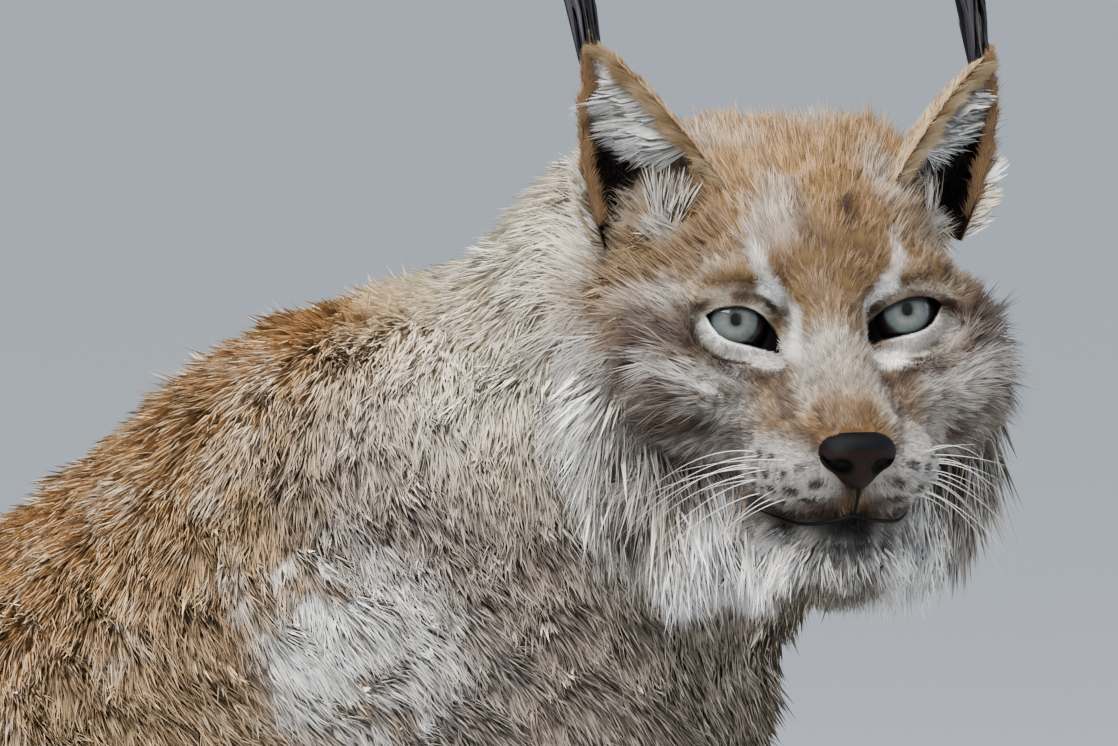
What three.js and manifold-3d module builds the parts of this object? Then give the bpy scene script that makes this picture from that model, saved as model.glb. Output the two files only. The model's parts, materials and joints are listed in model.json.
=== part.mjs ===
// A Eurasian lynx at life size, sitting, with its head turned to its right.
// Millimetres, +Z up. The animal faces -Y, its left side is +X and the floor is z = 0.
// The body is one smooth form out to the ends of the coat, parted into the lynx's own parts.
// The ruff, the beard and the tufts of the ears are locks of hair rooted in the head and ears.

import * as THREE from 'three';
import { SimplifyModifier } from 'three/addons/modifiers/SimplifyModifier.js';
import { mergeVertices } from 'three/addons/utils/BufferGeometryUtils.js';
import Module from 'manifold-3d';

const wasm = await Module();
wasm.setup();

// Where the head is carried: the middle between the eyes, and its turn, nod and tilt in degrees
const EYES_AT = [-110, 0, 618];
const HEAD_TURN = -63.8;
const HEAD_NOD = 4.2;
const HEAD_TILT = -0.3;

// Gaps between touching parts, and the distance under which corners count as one
const FIT_GAP = 0.3;
const WELD = 0.002;

// Sizes of the eyes, in the frame of the head: x to its left, y to the back, origin between the eyes
// The eyes aren't quite level: the head hangs a little to one side
const EYE = { side: 36, back: 1.5, radius: 14.5, lid: 2.6 };
const EYE_LEVEL = { left: 1.5, right: -1 };
const EYE_OPENING = { width: 33, upper: 10, lower: 6.5, slant: 24 };

// The line of the mouth: half its width, the depth and the width of its groove
const MOUTH = { half: 31, depth: 6, width: 1.3 };

// The ears: three points on the inner and on the outer rim, thickness of the shell
const EAR_INNER = [[31, 12, 50], [62, 30, 96], [84, 48, 110]];
const EAR_OUTER = [[76, 48, 20], [93, 48, 70], [84, 48, 110]];
const EAR = { shell: 3.6, depth: 0.95, arc: 8 };
const EAR_SHELL = { start: -0.12, end: 0.95, stations: 8 };
const EAR_CUP = { start: 0.14, end: 0.86, stations: 6 };
const EAR_LIFT = 0.35;
const EAR_BACK = [-0.18, 0.95, 0.1];

// The tufts of the ears: both hang over to the lynx's right
const TUFT = { length: 52, width: 8, thickness: 5, count: 4, spread: 2, splay: 0.07 };
const TUFT_ROOT = { left: [79, 48, 90], right: [82, 48, 100] };
const TUFT_LEAN = { left: 0.06, right: -0.03 };
const TUFT_BEND = { left: -0.2, right: -0.16 };

// How much lower an ear is carried
const EAR_DROP = { left: 8, right: 0 };

// The ruff: its core, the arc of its roots from ear to throat, and its locks
const RUFF_CORE = { centre: [44, 24, -62], semi: [28, 28, 36] };
const RUFF_ROOTS = [[72, 44, 14], [82, 36, -22], [76, 26, -54], [54, 16, -72], [24, 12, -80]];
const RUFF_FLOW = [[0.3, 0.8, -0.7], [0.35, 0.5, -0.9], [0.1, 0.25, -1], [0.05, 0.15, -1], [0.1, 0.1, -1]];
const RUFF_LENGTH = [42, 52, 54, 50, 38];
const RUFF = { columns: 10, rows: 3, rowStep: 15, width: 25, thickness: 7, sink: 9 };
const BEARD = { count: 5, spread: 13, length: 34, width: 15, thickness: 6 };

// The body: knots of the back, paws and feet
const SPINE = [
  { at: [0, 160, 504], radius: 107 },
  { at: [0, 228, 482], radius: 111 },
  { at: [0, 297, 425], radius: 111 },
  { at: [0, 350, 345], radius: 120 },
  { at: [0, 402, 230], radius: 140 },
  { at: [0, 408, 138], radius: 134 },
];
const TRUNK_FLATTEN = 0.96;
const FOREPAW = { side: 66, front: 56, top: 88, half: 56, back: 86 };
const HIND_FOOT = { side: 114, front: 206, top: 76, half: 56, back: 56 };
const PAW = { ahead: 94, toeAhead: 34, below: 20 };
const TOE_SPREAD = [-32, -11, 11, 32];
const TOE_REACH = [12, 0, 0, 12];

// How widely the forms flow into each other: within each part of the body, and where parts join
const FLOW = { face: 13, socket: 7, nose: 5, nostril: 1.5, trunk: 40, legs: 26, paws: 6, tail: 20 };
const JOIN = { legs: 34, tail: 24, paws: 12, head: 26 };

// Fineness: the size of the cells that the form is sampled with, and the corners kept of it
const HEAD_MESH = { cell: 5, corners: 1550 };
const BODY_MESH = { cell: 15, corners: 1850 };
const PAW_MESH = { cell: 7, corners: 240 };
const NOSE_MESH = { cell: 3.6, corners: Infinity };

const SIDES = [
  { name: 'left', sign: 1 },
  { name: 'right', sign: -1 },
];

const degrees = (angle) => (angle * Math.PI) / 180;
const mix = (a, b, t) => a + (b - a) * t;
const vec = (p) => new THREE.Vector3(p[0], p[1], p[2]);
const onSide = (p, sign) => [p[0] * sign, p[1], p[2]];

// Seeded random numbers from 0 to 1
let seed = 7;
function random() {
  seed = (seed * 16807) % 2147483647;
  return seed / 2147483647;
}
const vary = (amount) => 1 + amount * (2 * random() - 1);

// A value read off a row of knots at t from 0 to 1, on straight stretches
function along(knots, t) {
  const place = Math.min(t, 0.9999) * (knots.length - 1);
  const first = Math.floor(place);
  const part = place - first;
  const [a, b] = [knots[first], knots[first + 1]];
  return Array.isArray(a) ? a.map((value, i) => mix(value, b[i], part)) : mix(a, b, part);
}

// Distance functions of the simple forms, in millimetres, negative inside
function ellipsoid(centre, semi, lean = 0) {
  const cos = Math.cos(degrees(lean));
  const sin = Math.sin(degrees(lean));
  return (x, y, z) => {
    const dy = y - centre[1];
    const dz = z - centre[2];
    const a = (x - centre[0]) / semi[0];
    const b = (dy * cos + dz * sin) / semi[1];
    const c = (dz * cos - dy * sin) / semi[2];
    const near = Math.sqrt(a * a + b * b + c * c);
    const slope = Math.sqrt((a / semi[0]) ** 2 + (b / semi[1]) ** 2 + (c / semi[2]) ** 2);
    return slope === 0 ? -Math.min(...semi) : (near * (near - 1)) / slope;
  };
}

function limb(start, end, startRadius, endRadius, flatten = 1) {
  const axis = end.map((value, i) => value - start[i]);
  const lengthSquared = axis.reduce((sum, value) => sum + value * value, 0);
  return (x, y, z) => {
    const p = [x - start[0], y - start[1], z - start[2]];
    const t = (p[0] * axis[0] + p[1] * axis[1] + p[2] * axis[2]) / lengthSquared;
    const held = Math.min(1, Math.max(0, t));
    const away = p.map((value, i) => value - axis[i] * held);
    away[0] /= flatten;
    return Math.hypot(away[0], away[1], away[2]) - mix(startRadius, endRadius, held);
  };
}

function smoothMin(a, b, width) {
  const overlap = Math.max(width - Math.abs(a - b), 0) / width;
  return Math.min(a, b) - overlap * overlap * width * 0.25;
}

const blend = (width, forms) => (x, y, z) =>
  forms.slice(1).reduce((value, form) => smoothMin(value, form(x, y, z), width), forms[0](x, y, z));

const carve = (width, form, hollow) => (x, y, z) => -smoothMin(-form(x, y, z), hollow(x, y, z), width);

// The head has its own frame, and its forms are alike on both sides: x is the distance from the middle
const group = new THREE.Group();
const headGroup = new THREE.Group();
headGroup.rotation.set(degrees(HEAD_NOD), degrees(HEAD_TILT), degrees(HEAD_TURN), 'ZXY');
headGroup.position.set(...EYES_AT);
headGroup.updateMatrixWorld(true);
const headToBody = headGroup.matrixWorld.clone();
const bodyToHead = headToBody.clone().invert();

function moved({ elements: m }, x, y, z) {
  return [
    m[0] * x + m[4] * y + m[8] * z + m[12],
    m[1] * x + m[5] * y + m[9] * z + m[13],
    m[2] * x + m[6] * y + m[10] * z + m[14],
  ];
}

const skull = [
  ellipsoid([0, 52, 18], [68, 66, 61]),
  ellipsoid([27, 60, 40], [40, 44, 38]),
  ellipsoid([0, 20, 14], [52, 42, 46]),
  ellipsoid([34, -8, 21], [21, 13, 10]),
];
const muzzle = [
  limb([0, -10, -2], [0, -50, -40], 21, 15.5),
  ellipsoid([20, -42, -54], [19, 21, 17]),
  ellipsoid([0, -20, -50], [38, 36, 27]),
  ellipsoid([0, -35, -80], [19, 19, 13]),
  ellipsoid([0, -8, -76], [36, 36, 24]),
  ellipsoid([30, -18, -27], [13, 12.5, 17]),
];
const cheeks = [
  ellipsoid([48, 10, -20], [35, 42, 42]),
  ellipsoid([54, 36, -38], [31, 34, 50]),
  ellipsoid([0, 22, -80], [38, 40, 28]),
  ellipsoid(RUFF_CORE.centre, RUFF_CORE.semi),
];
const eyeSocket = ellipsoid([EYE.side, -14, -1], [17, 13, 10]);
const head = carve(FLOW.socket, blend(FLOW.face, [...skull, ...muzzle, ...cheeks]), eyeSocket);

const trunkForms = SPINE.slice(1).map((knot, i) =>
  limb(SPINE[i].at, knot.at, SPINE[i].radius, knot.radius, TRUNK_FLATTEN));
const neckForms = [
  limb([0, 180, 538], [-8, 116, 564], 81, 79),
  limb([-8, 116, 564], [-26, 62, 598], 79, 86),
  limb([-4, 136, 500], [-26, 58, 560], 88, 74),
  ellipsoid([-26, 90, 628], [62, 48, 54]),
];
const chestForms = [
  ellipsoid([0, 132, 430], [84, 92, 112]),
  ellipsoid([50, 194, 532], [46, 78, 86], -36),
  ellipsoid([-50, 194, 532], [46, 78, 86], -36),
];
const forelegForms = (sign) => [
  ellipsoid([70 * sign, 132, 425], [46, 72, 112], -8),
  limb([78 * sign, 146, 345], [70 * sign, 96, 120], 50, 38),
  limb([70 * sign, 96, 120], [FOREPAW.side * sign, FOREPAW.front + 26, 40], 38, 38),
];
const hindlegForms = (sign) => [
  ellipsoid([88 * sign, 345, 172], [68, 134, 140], 12),
  limb([102 * sign, 236, 206], [108 * sign, 300, 90], 54, 48),
  limb([108 * sign, 300, 90], [110 * sign, 395, 58], 48, 42),
  limb([112 * sign, 396, 38], [112 * sign, HIND_FOOT.front + 24, 32], 40, 39),
];
const pawForms = (sign, { side, front }) => [
  ellipsoid([side * sign, front, 26], [45, 50, 35]),
  ...TOE_SPREAD.map((across, i) =>
    ellipsoid([side * sign + across, front - PAW.toeAhead + TOE_REACH[i], 19], [14, 28, 24])),
];
const tailForms = [
  limb([0, 500, 96], [22, 566, 44], 52, 40),
  limb([22, 566, 44], [70, 606, 34], 40, 37),
  limb([70, 606, 34], [122, 604, 32], 37, 35),
];

const trunk = blend(FLOW.trunk, [...trunkForms, ...neckForms, ...chestForms]);
const legs = blend(FLOW.legs, SIDES.flatMap(({ sign }) => [...forelegForms(sign), ...hindlegForms(sign)]));
const paws = blend(FLOW.paws, SIDES.flatMap(({ sign }) => [
  ...pawForms(sign, FOREPAW), ...pawForms(sign, HIND_FOOT)]));
const tail = blend(FLOW.tail, tailForms);

function lynx(x, y, z) {
  const local = moved(bodyToHead, x, y, z);
  let value = smoothMin(trunk(x, y, z), legs(x, y, z), JOIN.legs);
  value = smoothMin(value, tail(x, y, z), JOIN.tail);
  value = smoothMin(value, paws(x, y, z), JOIN.paws);
  return smoothMin(value, head(Math.abs(local[0]), local[1], local[2]), JOIN.head);
}
const lynxInHead = (x, y, z) => lynx(...moved(headToBody, x, y, z));

// The surface as a mesh: a corner in every cell that it crosses, moved onto the surface, and a
// quad round every grid edge that crosses it. What lies at the border of the grid is outside
function surfaceMesh(field, low, high, cell) {
  const count = low.map((value, i) => Math.ceil((high[i] - value) / cell) + 1);
  const stride = [1, count[0], count[0] * count[1]];
  const values = new Float64Array(count[0] * count[1] * count[2]).fill(cell);
  const everyCell = (first, last, visit) => {
    for (let k = first; k < count[2] - last; k += 1) {
      for (let j = first; j < count[1] - last; j += 1) {
        for (let i = first; i < count[0] - last; i += 1) {
          visit([i, j, k], i + j * stride[1] + k * stride[2]);
        }
      }
    }
  };
  everyCell(1, 1, (at, index) => {
    values[index] = field(...at.map((value, axis) => low[axis] + value * cell));
  });
  const cornerOf = new Map();
  const positions = [];
  everyCell(0, 1, (at, index) => {
    const point = crossingPoint(values, stride, index);
    if (point) {
      cornerOf.set(index, positions.length / 3);
      const start = point.map((value, axis) => low[axis] + (at[axis] + value) * cell);
      positions.push(...ontoSurface(field, start, cell));
    }
  });
  const indices = [];
  everyCell(0, 1, (at, here) => {
    for (let axis = 0; axis < 3; axis += 1) {
      const inside = values[here] < 0;
      if (inside !== values[here + stride[axis]] < 0) {
        const b = stride[(axis + 1) % 3];
        const c = stride[(axis + 2) % 3];
        const ring = [here - b - c, here - c, here, here - b].map((cellIndex) => cornerOf.get(cellIndex));
        const [p, q, r, s] = inside ? ring : ring.reverse();
        indices.push(p, q, r, p, r, s);
      }
    }
  });
  return { positions, indices };
}

// The mean of the points where the surface crosses the edges of one cell, in cell units
function crossingPoint(values, stride, base) {
  const valueAt = (c) => values[base + (c & 1) + ((c >> 1) & 1) * stride[1] + (c >> 2) * stride[2]];
  const sum = [0, 0, 0];
  let crossings = 0;
  for (let c = 0; c < 8; c += 1) {
    for (let axis = 0; axis < 3; axis += 1) {
      const other = c | (1 << axis);
      if (other !== c && valueAt(c) < 0 !== valueAt(other) < 0) {
        const t = valueAt(c) / (valueAt(c) - valueAt(other));
        sum.forEach((value, d) => {
          sum[d] = value + ((c >> d) & 1) + (d === axis ? t : 0);
        });
        crossings += 1;
      }
    }
  }
  return crossings ? sum.map((value) => value / crossings) : null;
}

function slopeOf(field, [x, y, z]) {
  const step = 0.5;
  return [
    (field(x + step, y, z) - field(x - step, y, z)) / (2 * step),
    (field(x, y + step, z) - field(x, y - step, z)) / (2 * step),
    (field(x, y, z + step) - field(x, y, z - step)) / (2 * step),
  ];
}

function ontoSurface(field, start, reach) {
  let point = start;
  for (let turn = 0; turn < 4; turn += 1) {
    const value = field(...point);
    const slope = slopeOf(field, point);
    const steepness = slope[0] ** 2 + slope[1] ** 2 + slope[2] ** 2 + 1e-6;
    point = point.map((p, i) => p - (value * slope[i]) / steepness);
  }
  const shift = Math.hypot(...point.map((value, i) => value - start[i]));
  return shift < reach ? point : start;
}

// Closed meshes as solids, with their faces turned outwards
function solidOf({ positions, indices }) {
  const corner = (i) => vec(positions.slice(3 * i, 3 * i + 3));
  let volume = 0;
  for (let t = 0; t < indices.length; t += 3) {
    volume += corner(indices[t]).dot(corner(indices[t + 1]).cross(corner(indices[t + 2])));
  }
  const facing = volume < 0 ? Array.from(indices).reverse() : indices;
  return new wasm.Manifold(new wasm.Mesh({
    numProp: 3,
    vertProperties: new Float32Array(positions),
    triVerts: new Uint32Array(facing),
  }));
}

function solidFrom(geometry) {
  geometry.deleteAttribute('normal');
  geometry.deleteAttribute('uv');
  const merged = mergeVertices(geometry, WELD / 10);
  return solidOf({ positions: merged.attributes.position.array, indices: merged.index.array });
}

async function surfaceSolid(field, low, high, { cell, corners }) {
  const mesh = surfaceMesh(field, low, high, cell);
  const surplus = mesh.positions.length / 3 - corners;
  if (surplus < 0) {
    return solidOf(mesh);
  }
  const fine = new THREE.BufferGeometry();
  fine.setAttribute('position', new THREE.BufferAttribute(new Float32Array(mesh.positions), 3));
  fine.setIndex(mesh.indices);
  return solidFrom(await new SimplifyModifier().modify(fine, surplus));
}

function largest(solid) {
  return solid.decompose().reduce((best, piece) => (piece.volume() > best.volume() ? piece : best));
}

function geometryOf(solid) {
  const mesh = solid.getMesh();
  const geometry = new THREE.BufferGeometry();
  geometry.setAttribute('position', new THREE.BufferAttribute(mesh.vertProperties, 3));
  geometry.setIndex(new THREE.BufferAttribute(mesh.triVerts, 1));
  return geometry;
}

// Joins corners that a cut left closer together than the weld, and drops the scraps this frees
function welded(solid) {
  const merged = mergeVertices(geometryOf(largest(solid)), WELD);
  const index = merged.index.array;
  const indices = [];
  for (let t = 0; t < index.length; t += 3) {
    const [a, b, c] = index.slice(t, t + 3);
    if (a !== b && b !== c && c !== a) {
      indices.push(a, b, c);
    }
  }
  return largest(solidOf({ positions: merged.attributes.position.array, indices }));
}

function addPart(parent, name, solid, material) {
  const geometry = geometryOf(welded(solid));
  geometry.computeVertexNormals();
  const part = new THREE.Mesh(geometry, material);
  part.name = name;
  parent.add(part);
  return part;
}

// Cutters: all that lies on the side of a plane that its normal points to, an egg and a block
const FAR = 1400;
function halfSpace(point, normal, growth = 0) {
  const box = new THREE.BoxGeometry(FAR, FAR, FAR);
  box.translate(0, 0, FAR / 2 - growth);
  const up = new THREE.Vector3(0, 0, 1);
  box.applyQuaternion(new THREE.Quaternion().setFromUnitVectors(up, vec(normal).normalize()));
  box.translate(...point);
  return solidFrom(box);
}

function egg(centre, semi, growth) {
  const sphere = new THREE.SphereGeometry(1, 14, 9);
  sphere.scale(...semi.map((value) => value + growth));
  sphere.translate(...centre);
  return solidFrom(sphere);
}

function block(low, high, growth) {
  const box = new THREE.BoxGeometry(...high.map((value, i) => value - low[i] + 2 * growth));
  box.translate(...high.map((value, i) => (value + low[i]) / 2));
  return solidFrom(box);
}

// Rings with the same number of points each, joined to a closed skin
function loft(rings) {
  const size = rings[0].length;
  const indices = [];
  for (let r = 0; r < rings.length - 1; r += 1) {
    for (let i = 0; i < size; i += 1) {
      const a = r * size + i;
      const b = r * size + ((i + 1) % size);
      indices.push(a, b + size, b, a, a + size, b + size);
    }
  }
  const last = (rings.length - 1) * size;
  for (let i = 1; i < size - 1; i += 1) {
    indices.push(0, i, i + 1, last, last + i + 1, last + i);
  }
  return solidOf({ positions: rings.flat(2), indices });
}

// A lock of hair: flat, tapered and bent, with a four-sided section that ends in a fine tip
// Its width starts at a share of the full one, swells to it and falls to the tip as a parabola
const LOCK_STATIONS = 4;
const LOCK_TIP = 0.06;
const LOCK_START = 0.72;
const LOCK_SWELL = 1.12;
function lock(root, heading, outward, length, width, thickness, bend) {
  const rings = [];
  for (let s = 0; s <= LOCK_STATIONS; s += 1) {
    const t = s / LOCK_STATIONS;
    const middle = vec(root).addScaledVector(heading, length * t).addScaledVector(bend, length * t * t);
    const tangent = heading.clone().addScaledVector(bend, 2 * t).normalize();
    const across = tangent.clone().cross(outward).normalize();
    const up = across.clone().cross(tangent).normalize();
    const fall = LOCK_START + LOCK_SWELL - LOCK_TIP;
    const half = (width / 2) * (LOCK_START + LOCK_SWELL * t - fall * t * t);
    const rise = (thickness / 2) * (1 - (1 - LOCK_TIP) * t * t);
    rings.push([[1, 0], [0, 1], [-1, 0], [0, -1]].map(([a, b]) =>
      middle.clone().addScaledVector(across, a * half).addScaledVector(up, b * rise).toArray()));
  }
  return loft(rings);
}

// Colours of the coat, read off the photo by eye
const coat = (color, roughness = 0.9) => new THREE.MeshStandardMaterial({ color, roughness, metalness: 0 });
const BACK = 0xa37448;
const FLANK = 0xa88563;
const NECK = 0xb39f87;
const FACE = 0xb99b78;
const EAR_TAN = 0x9c7c58;
const BLACK = 0x1d1816;
const IRIS = 0x9aa694;
const NOSE_LEATHER = 0x4a3029;

// The body is sampled whole and then cut: each part takes what its cutter holds of what is left
const HEAD_END = [0, 74, 6];
const HEAD_END_NORMAL = [0, -0.94, 0.34];
const headEnd = moved(headToBody, ...HEAD_END);
const headEndNormal = vec(HEAD_END_NORMAL).transformDirection(headToBody).toArray();
const aboveFloor = halfSpace([0, 0, 0], [0, 0, 1]);

let rest = (await surfaceSolid(lynx, [-190, -30, -30], [190, 680, 720], BODY_MESH))
  .intersect(aboveFloor)
  .subtract(halfSpace(headEnd, headEndNormal, FIT_GAP / 2));

function takePart(name, cutter, color, own) {
  const solid = welded((own ?? rest).intersect(cutter(0)));
  addPart(group, name, solid, coat(color));
  rest = rest.subtract(cutter(FIT_GAP));
  return solid;
}

async function takePaw(name, sign, { side, front, top, half, back }) {
  const low = [side * sign - half, front - PAW.ahead, -PAW.below];
  const high = [side * sign + half, front + back, top];
  const margin = 3 * PAW_MESH.cell;
  const box = [low.map((value) => value - margin), high.map((value) => value + margin)];
  const fine = (await surfaceSolid(lynx, ...box, PAW_MESH)).intersect(aboveFloor);
  takePart(name, (growth) => block(low, high, growth), FACE, fine);
}

for (const { name, sign } of SIDES) {
  await takePaw(`forepaw_${name}`, sign, FOREPAW);
  await takePaw(`hind_foot_${name}`, sign, HIND_FOOT);
}
takePart('tail_tip', (growth) =>
  halfSpace([78, 0, 0], [1, 0, 0], growth).intersect(halfSpace([0, 560, 0], [0, 1, 0], growth)), BLACK);
takePart('tail', (growth) => halfSpace([0, 540, 70], [0.1, 0.9, -0.42], growth), BACK);

// The head, its ruff and its beard hang over the forelegs, the neck and the chest
const underHead = [];
for (const { name, sign } of SIDES) {
  takePart(`hind_leg_${name}`, (growth) => egg([118 * sign, 325, 150], [66, 168, 170], growth), FLANK);
  const cutter = (growth) => egg([86 * sign, 106, 250], [64, 92, 262], growth);
  underHead.push(takePart(`foreleg_${name}`, cutter, NECK));
}
underHead.push(
  takePart('neck', (growth) => halfSpace([0, 128, 560], [-0.1, -0.62, 0.78], growth), NECK),
  takePart('chest', (growth) => halfSpace([0, 268, 430], [0, -0.86, 0.5], growth), FLANK),
);
addPart(group, 'loin', rest, coat(BACK));

// The nose leather: a rounded wedge, broad above and narrow below, with a pit for each nostril
const NOSE_MIDDLE = [0, -62, -46];
const NOSE_REACH = 24;
const noseForm = carve(FLOW.nostril, blend(FLOW.nose, [
  ellipsoid([0, -60, -43.5], [14.2, 9.5, 7]),
  ellipsoid([7.2, -59, -46.5], [7.8, 9, 6.5]),
  ellipsoid([0, -59, -52], [7.5, 8.5, 8]),
]), ellipsoid([8.6, -68, -50], [3.6, 6, 3]));
const noseSolid = (growth) => surfaceSolid(
  (x, y, z) => noseForm(Math.abs(x), y, z) - growth,
  NOSE_MIDDLE.map((value) => value - NOSE_REACH),
  NOSE_MIDDLE.map((value) => value + NOSE_REACH),
  NOSE_MESH,
);

// Eyes, and lids round them: a shell on each eyeball, opened by a slanted almond
function eyeball({ name, sign }, radius) {
  const sphere = new THREE.SphereGeometry(radius, 18, 12);
  sphere.translate(EYE.side * sign, EYE.back, EYE_LEVEL[name]);
  return solidFrom(sphere);
}

function lidOpening({ name, sign }) {
  const { width, upper, lower, slant } = EYE_OPENING;
  const outline = new THREE.Shape();
  outline.moveTo(-width / 2, 0);
  outline.quadraticCurveTo(-width / 10, 2 * upper, width / 2, 0);
  outline.quadraticCurveTo(width / 10, -2 * lower, -width / 2, 0);
  const prism = new THREE.ExtrudeGeometry(outline, { depth: 60, bevelEnabled: false, curveSegments: 7 });
  prism.rotateZ(degrees(slant));
  prism.rotateX(degrees(90));
  prism.translate(EYE.side - 1, 0, EYE_LEVEL[name]);
  prism.scale(sign, 1, 1);
  return solidFrom(prism);
}

// The groove of the mouth runs from corner to corner under the whisker pads
function mouthGroove() {
  const side = (sign) => [[1, -28, -70], [0.66, -46, -73], [0.25, -57, -69]]
    .map(([across, y, z]) => [across * MOUTH.half * sign, y, z]);
  const points = [...side(-1), [0, -58, -68], ...side(1).reverse()].map(vec);
  const section = new THREE.Shape([
    new THREE.Vector2(-MOUTH.width, 0),
    new THREE.Vector2(0, -MOUTH.depth),
    new THREE.Vector2(MOUTH.width, 0),
    new THREE.Vector2(0, MOUTH.depth),
  ]);
  const extrudePath = new THREE.CatmullRomCurve3(points);
  return solidFrom(new THREE.ExtrudeGeometry(section, { steps: 18, extrudePath, bevelEnabled: false }));
}

// Locks of the ruff: rows on each cheek from the ear to the throat, laid along the lie of the coat
function rootedLock(start, flow, sink, lift, length, width, thickness, bend) {
  const surface = ontoSurface(lynxInHead, start, Infinity);
  const normal = vec(slopeOf(lynxInHead, surface)).normalize();
  const lie = vec(flow);
  const heading = lie.addScaledVector(normal, -lie.dot(normal)).normalize().addScaledVector(normal, lift);
  const root = vec(surface).addScaledVector(normal, -sink).addScaledVector(heading, -sink);
  return lock(root.toArray(), heading.normalize(), normal, length + sink, width, thickness, bend);
}

function ruffLocks(sign) {
  const locks = [];
  for (let row = 0; row < RUFF.rows; row += 1) {
    for (let column = 0; column < RUFF.columns; column += 1) {
      const t = (column + 0.5 + 0.5 * (row % 2)) / (RUFF.columns + 0.5);
      const start = along(RUFF_ROOTS, t);
      start[1] -= RUFF.rowStep * (row - 0.5) * vary(0.2);
      start[2] += RUFF.rowStep * 0.5 * row * vary(0.3);
      const flow = along(RUFF_FLOW, t).map((value) => value + 0.12 * (2 * random() - 1));
      const length = along(RUFF_LENGTH, t) * vary(0.12);
      const bend = new THREE.Vector3(-0.1 * sign, 0.06, -0.12);
      locks.push(rootedLock(onSide(start, sign), onSide(flow, sign), RUFF.sink, 0.2 * vary(0.4),
        length, RUFF.width * vary(0.15), RUFF.thickness, bend));
    }
  }
  return locks;
}

function beardLocks() {
  const locks = [];
  for (let i = 0; i < BEARD.count; i += 1) {
    const across = (i - (BEARD.count - 1) / 2) * BEARD.spread;
    const start = [across, -24 + 0.01 * across * across, -96];
    locks.push(rootedLock(start, [0.004 * across, 0.25, -1], 8, 0.5,
      BEARD.length * vary(0.15), BEARD.width, BEARD.thickness, new THREE.Vector3(0, 0.3, -0.2)));
  }
  return locks;
}

// What hangs over the neck and chest is cut clear of them by a slightly larger copy of each
function grownInHead(solid, scale) {
  const geometry = geometryOf(solid);
  geometry.computeBoundingBox();
  const middle = geometry.boundingBox.getCenter(new THREE.Vector3());
  geometry.translate(-middle.x, -middle.y, -middle.z);
  geometry.scale(scale, scale, scale);
  geometry.translate(middle.x, middle.y, middle.z);
  geometry.applyMatrix4(bodyToHead);
  return solidFrom(geometry);
}
const CLEARANCE_SCALE = 1.008;
const bodyKeepOut = underHead.map((solid) => grownInHead(solid, CLEARANCE_SCALE));

const headCore = (await surfaceSolid(lynxInHead, [-128, -96, -150], [128, 132, 114], HEAD_MESH))
  .intersect(halfSpace(HEAD_END, HEAD_END_NORMAL, -FIT_GAP / 2));
let headSolid = headCore;
for (const piece of [...SIDES.flatMap(({ sign }) => ruffLocks(sign)), ...beardLocks()]) {
  const clear = bodyKeepOut.reduce((solid, keepOut) => solid.subtract(keepOut), piece);
  headSolid = headSolid.add(clear);
}
headSolid = headSolid.subtract(await noseSolid(FIT_GAP)).subtract(mouthGroove());
for (const side of SIDES) {
  headSolid = headSolid
    .add(eyeball(side, EYE.radius + EYE.lid))
    .subtract(lidOpening(side))
    .subtract(eyeball(side, EYE.radius + FIT_GAP));
  addPart(headGroup, `eye_${side.name}`, eyeball(side, EYE.radius), coat(IRIS, 0.1));
}
addPart(headGroup, 'nose', await noseSolid(0), coat(NOSE_LEATHER, 0.5));

// Ears: half cones hollowed from the front
const quadratic = ([a, b, c], t) => a.map((value, i) =>
  value * (1 - t) ** 2 + 2 * b[i] * t * (1 - t) + c[i] * t * t);

function earRings({ sign, drop, inset, start, end, stations }) {
  const lowered = (rim) => rim.map((p, i) => [p[0] * sign, p[1], p[2] - (drop * i) / 2]);
  const backward = vec(onSide(EAR_BACK, sign)).normalize();
  const rings = [];
  for (let s = 0; s < stations; s += 1) {
    const t = mix(start, end, s / (stations - 1));
    const inner = vec(quadratic(lowered(EAR_INNER), t));
    const outer = vec(quadratic(lowered(EAR_OUTER), t));
    const middle = inner.clone().add(outer).multiplyScalar(0.5);
    const half = inner.clone().sub(outer).multiplyScalar(0.5);
    const reach = Math.max(half.length() - inset, 0.6);
    half.setLength(reach);
    const ring = [];
    for (let i = 0; i <= EAR.arc; i += 1) {
      const angle = Math.PI * (i / EAR.arc);
      const atRim = inset && (i === 0 || i === EAR.arc);
      const pushed = atRim ? -2 * inset : reach * EAR.depth * Math.sin(angle);
      const point = middle.clone().addScaledVector(half, Math.cos(angle));
      ring.push(point.addScaledVector(backward, pushed).toArray());
    }
    rings.push(ring);
  }
  return rings;
}

function tuftLocks(name, sign) {
  const locks = [];
  for (let i = 0; i < TUFT.count; i += 1) {
    const turn = (2 * Math.PI * i) / TUFT.count;
    const outward = new THREE.Vector3(Math.cos(turn), Math.sin(turn), 0);
    const root = vec(onSide(TUFT_ROOT[name], sign)).addScaledVector(outward, TUFT.spread);
    const heading = new THREE.Vector3(TUFT_LEAN[name], 0.08, 1).addScaledVector(outward, TUFT.splay);
    const bend = new THREE.Vector3(TUFT_BEND[name] * vary(0.2), 0.2 * vary(0.2), 0);
    const length = TUFT.length * vary(0.15);
    locks.push(lock(root.toArray(), heading, outward, length, TUFT.width, TUFT.thickness, bend));
  }
  return locks;
}

for (const { name, sign } of SIDES) {
  const drop = EAR_DROP[name];
  let solid = loft(earRings({ sign, drop, inset: 0, ...EAR_SHELL }))
    .subtract(loft(earRings({ sign, drop, inset: EAR.shell, ...EAR_CUP })));
  for (const piece of tuftLocks(name, sign)) {
    solid = solid.add(piece);
  }
  const ear = addPart(headGroup, `ear_${name}`, solid.subtract(headSolid), coat(EAR_TAN));
  ear.position.set(EAR_LIFT * sign * 0.35, 0, EAR_LIFT);
}
addPart(headGroup, 'head', headSolid, coat(FACE));

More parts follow.
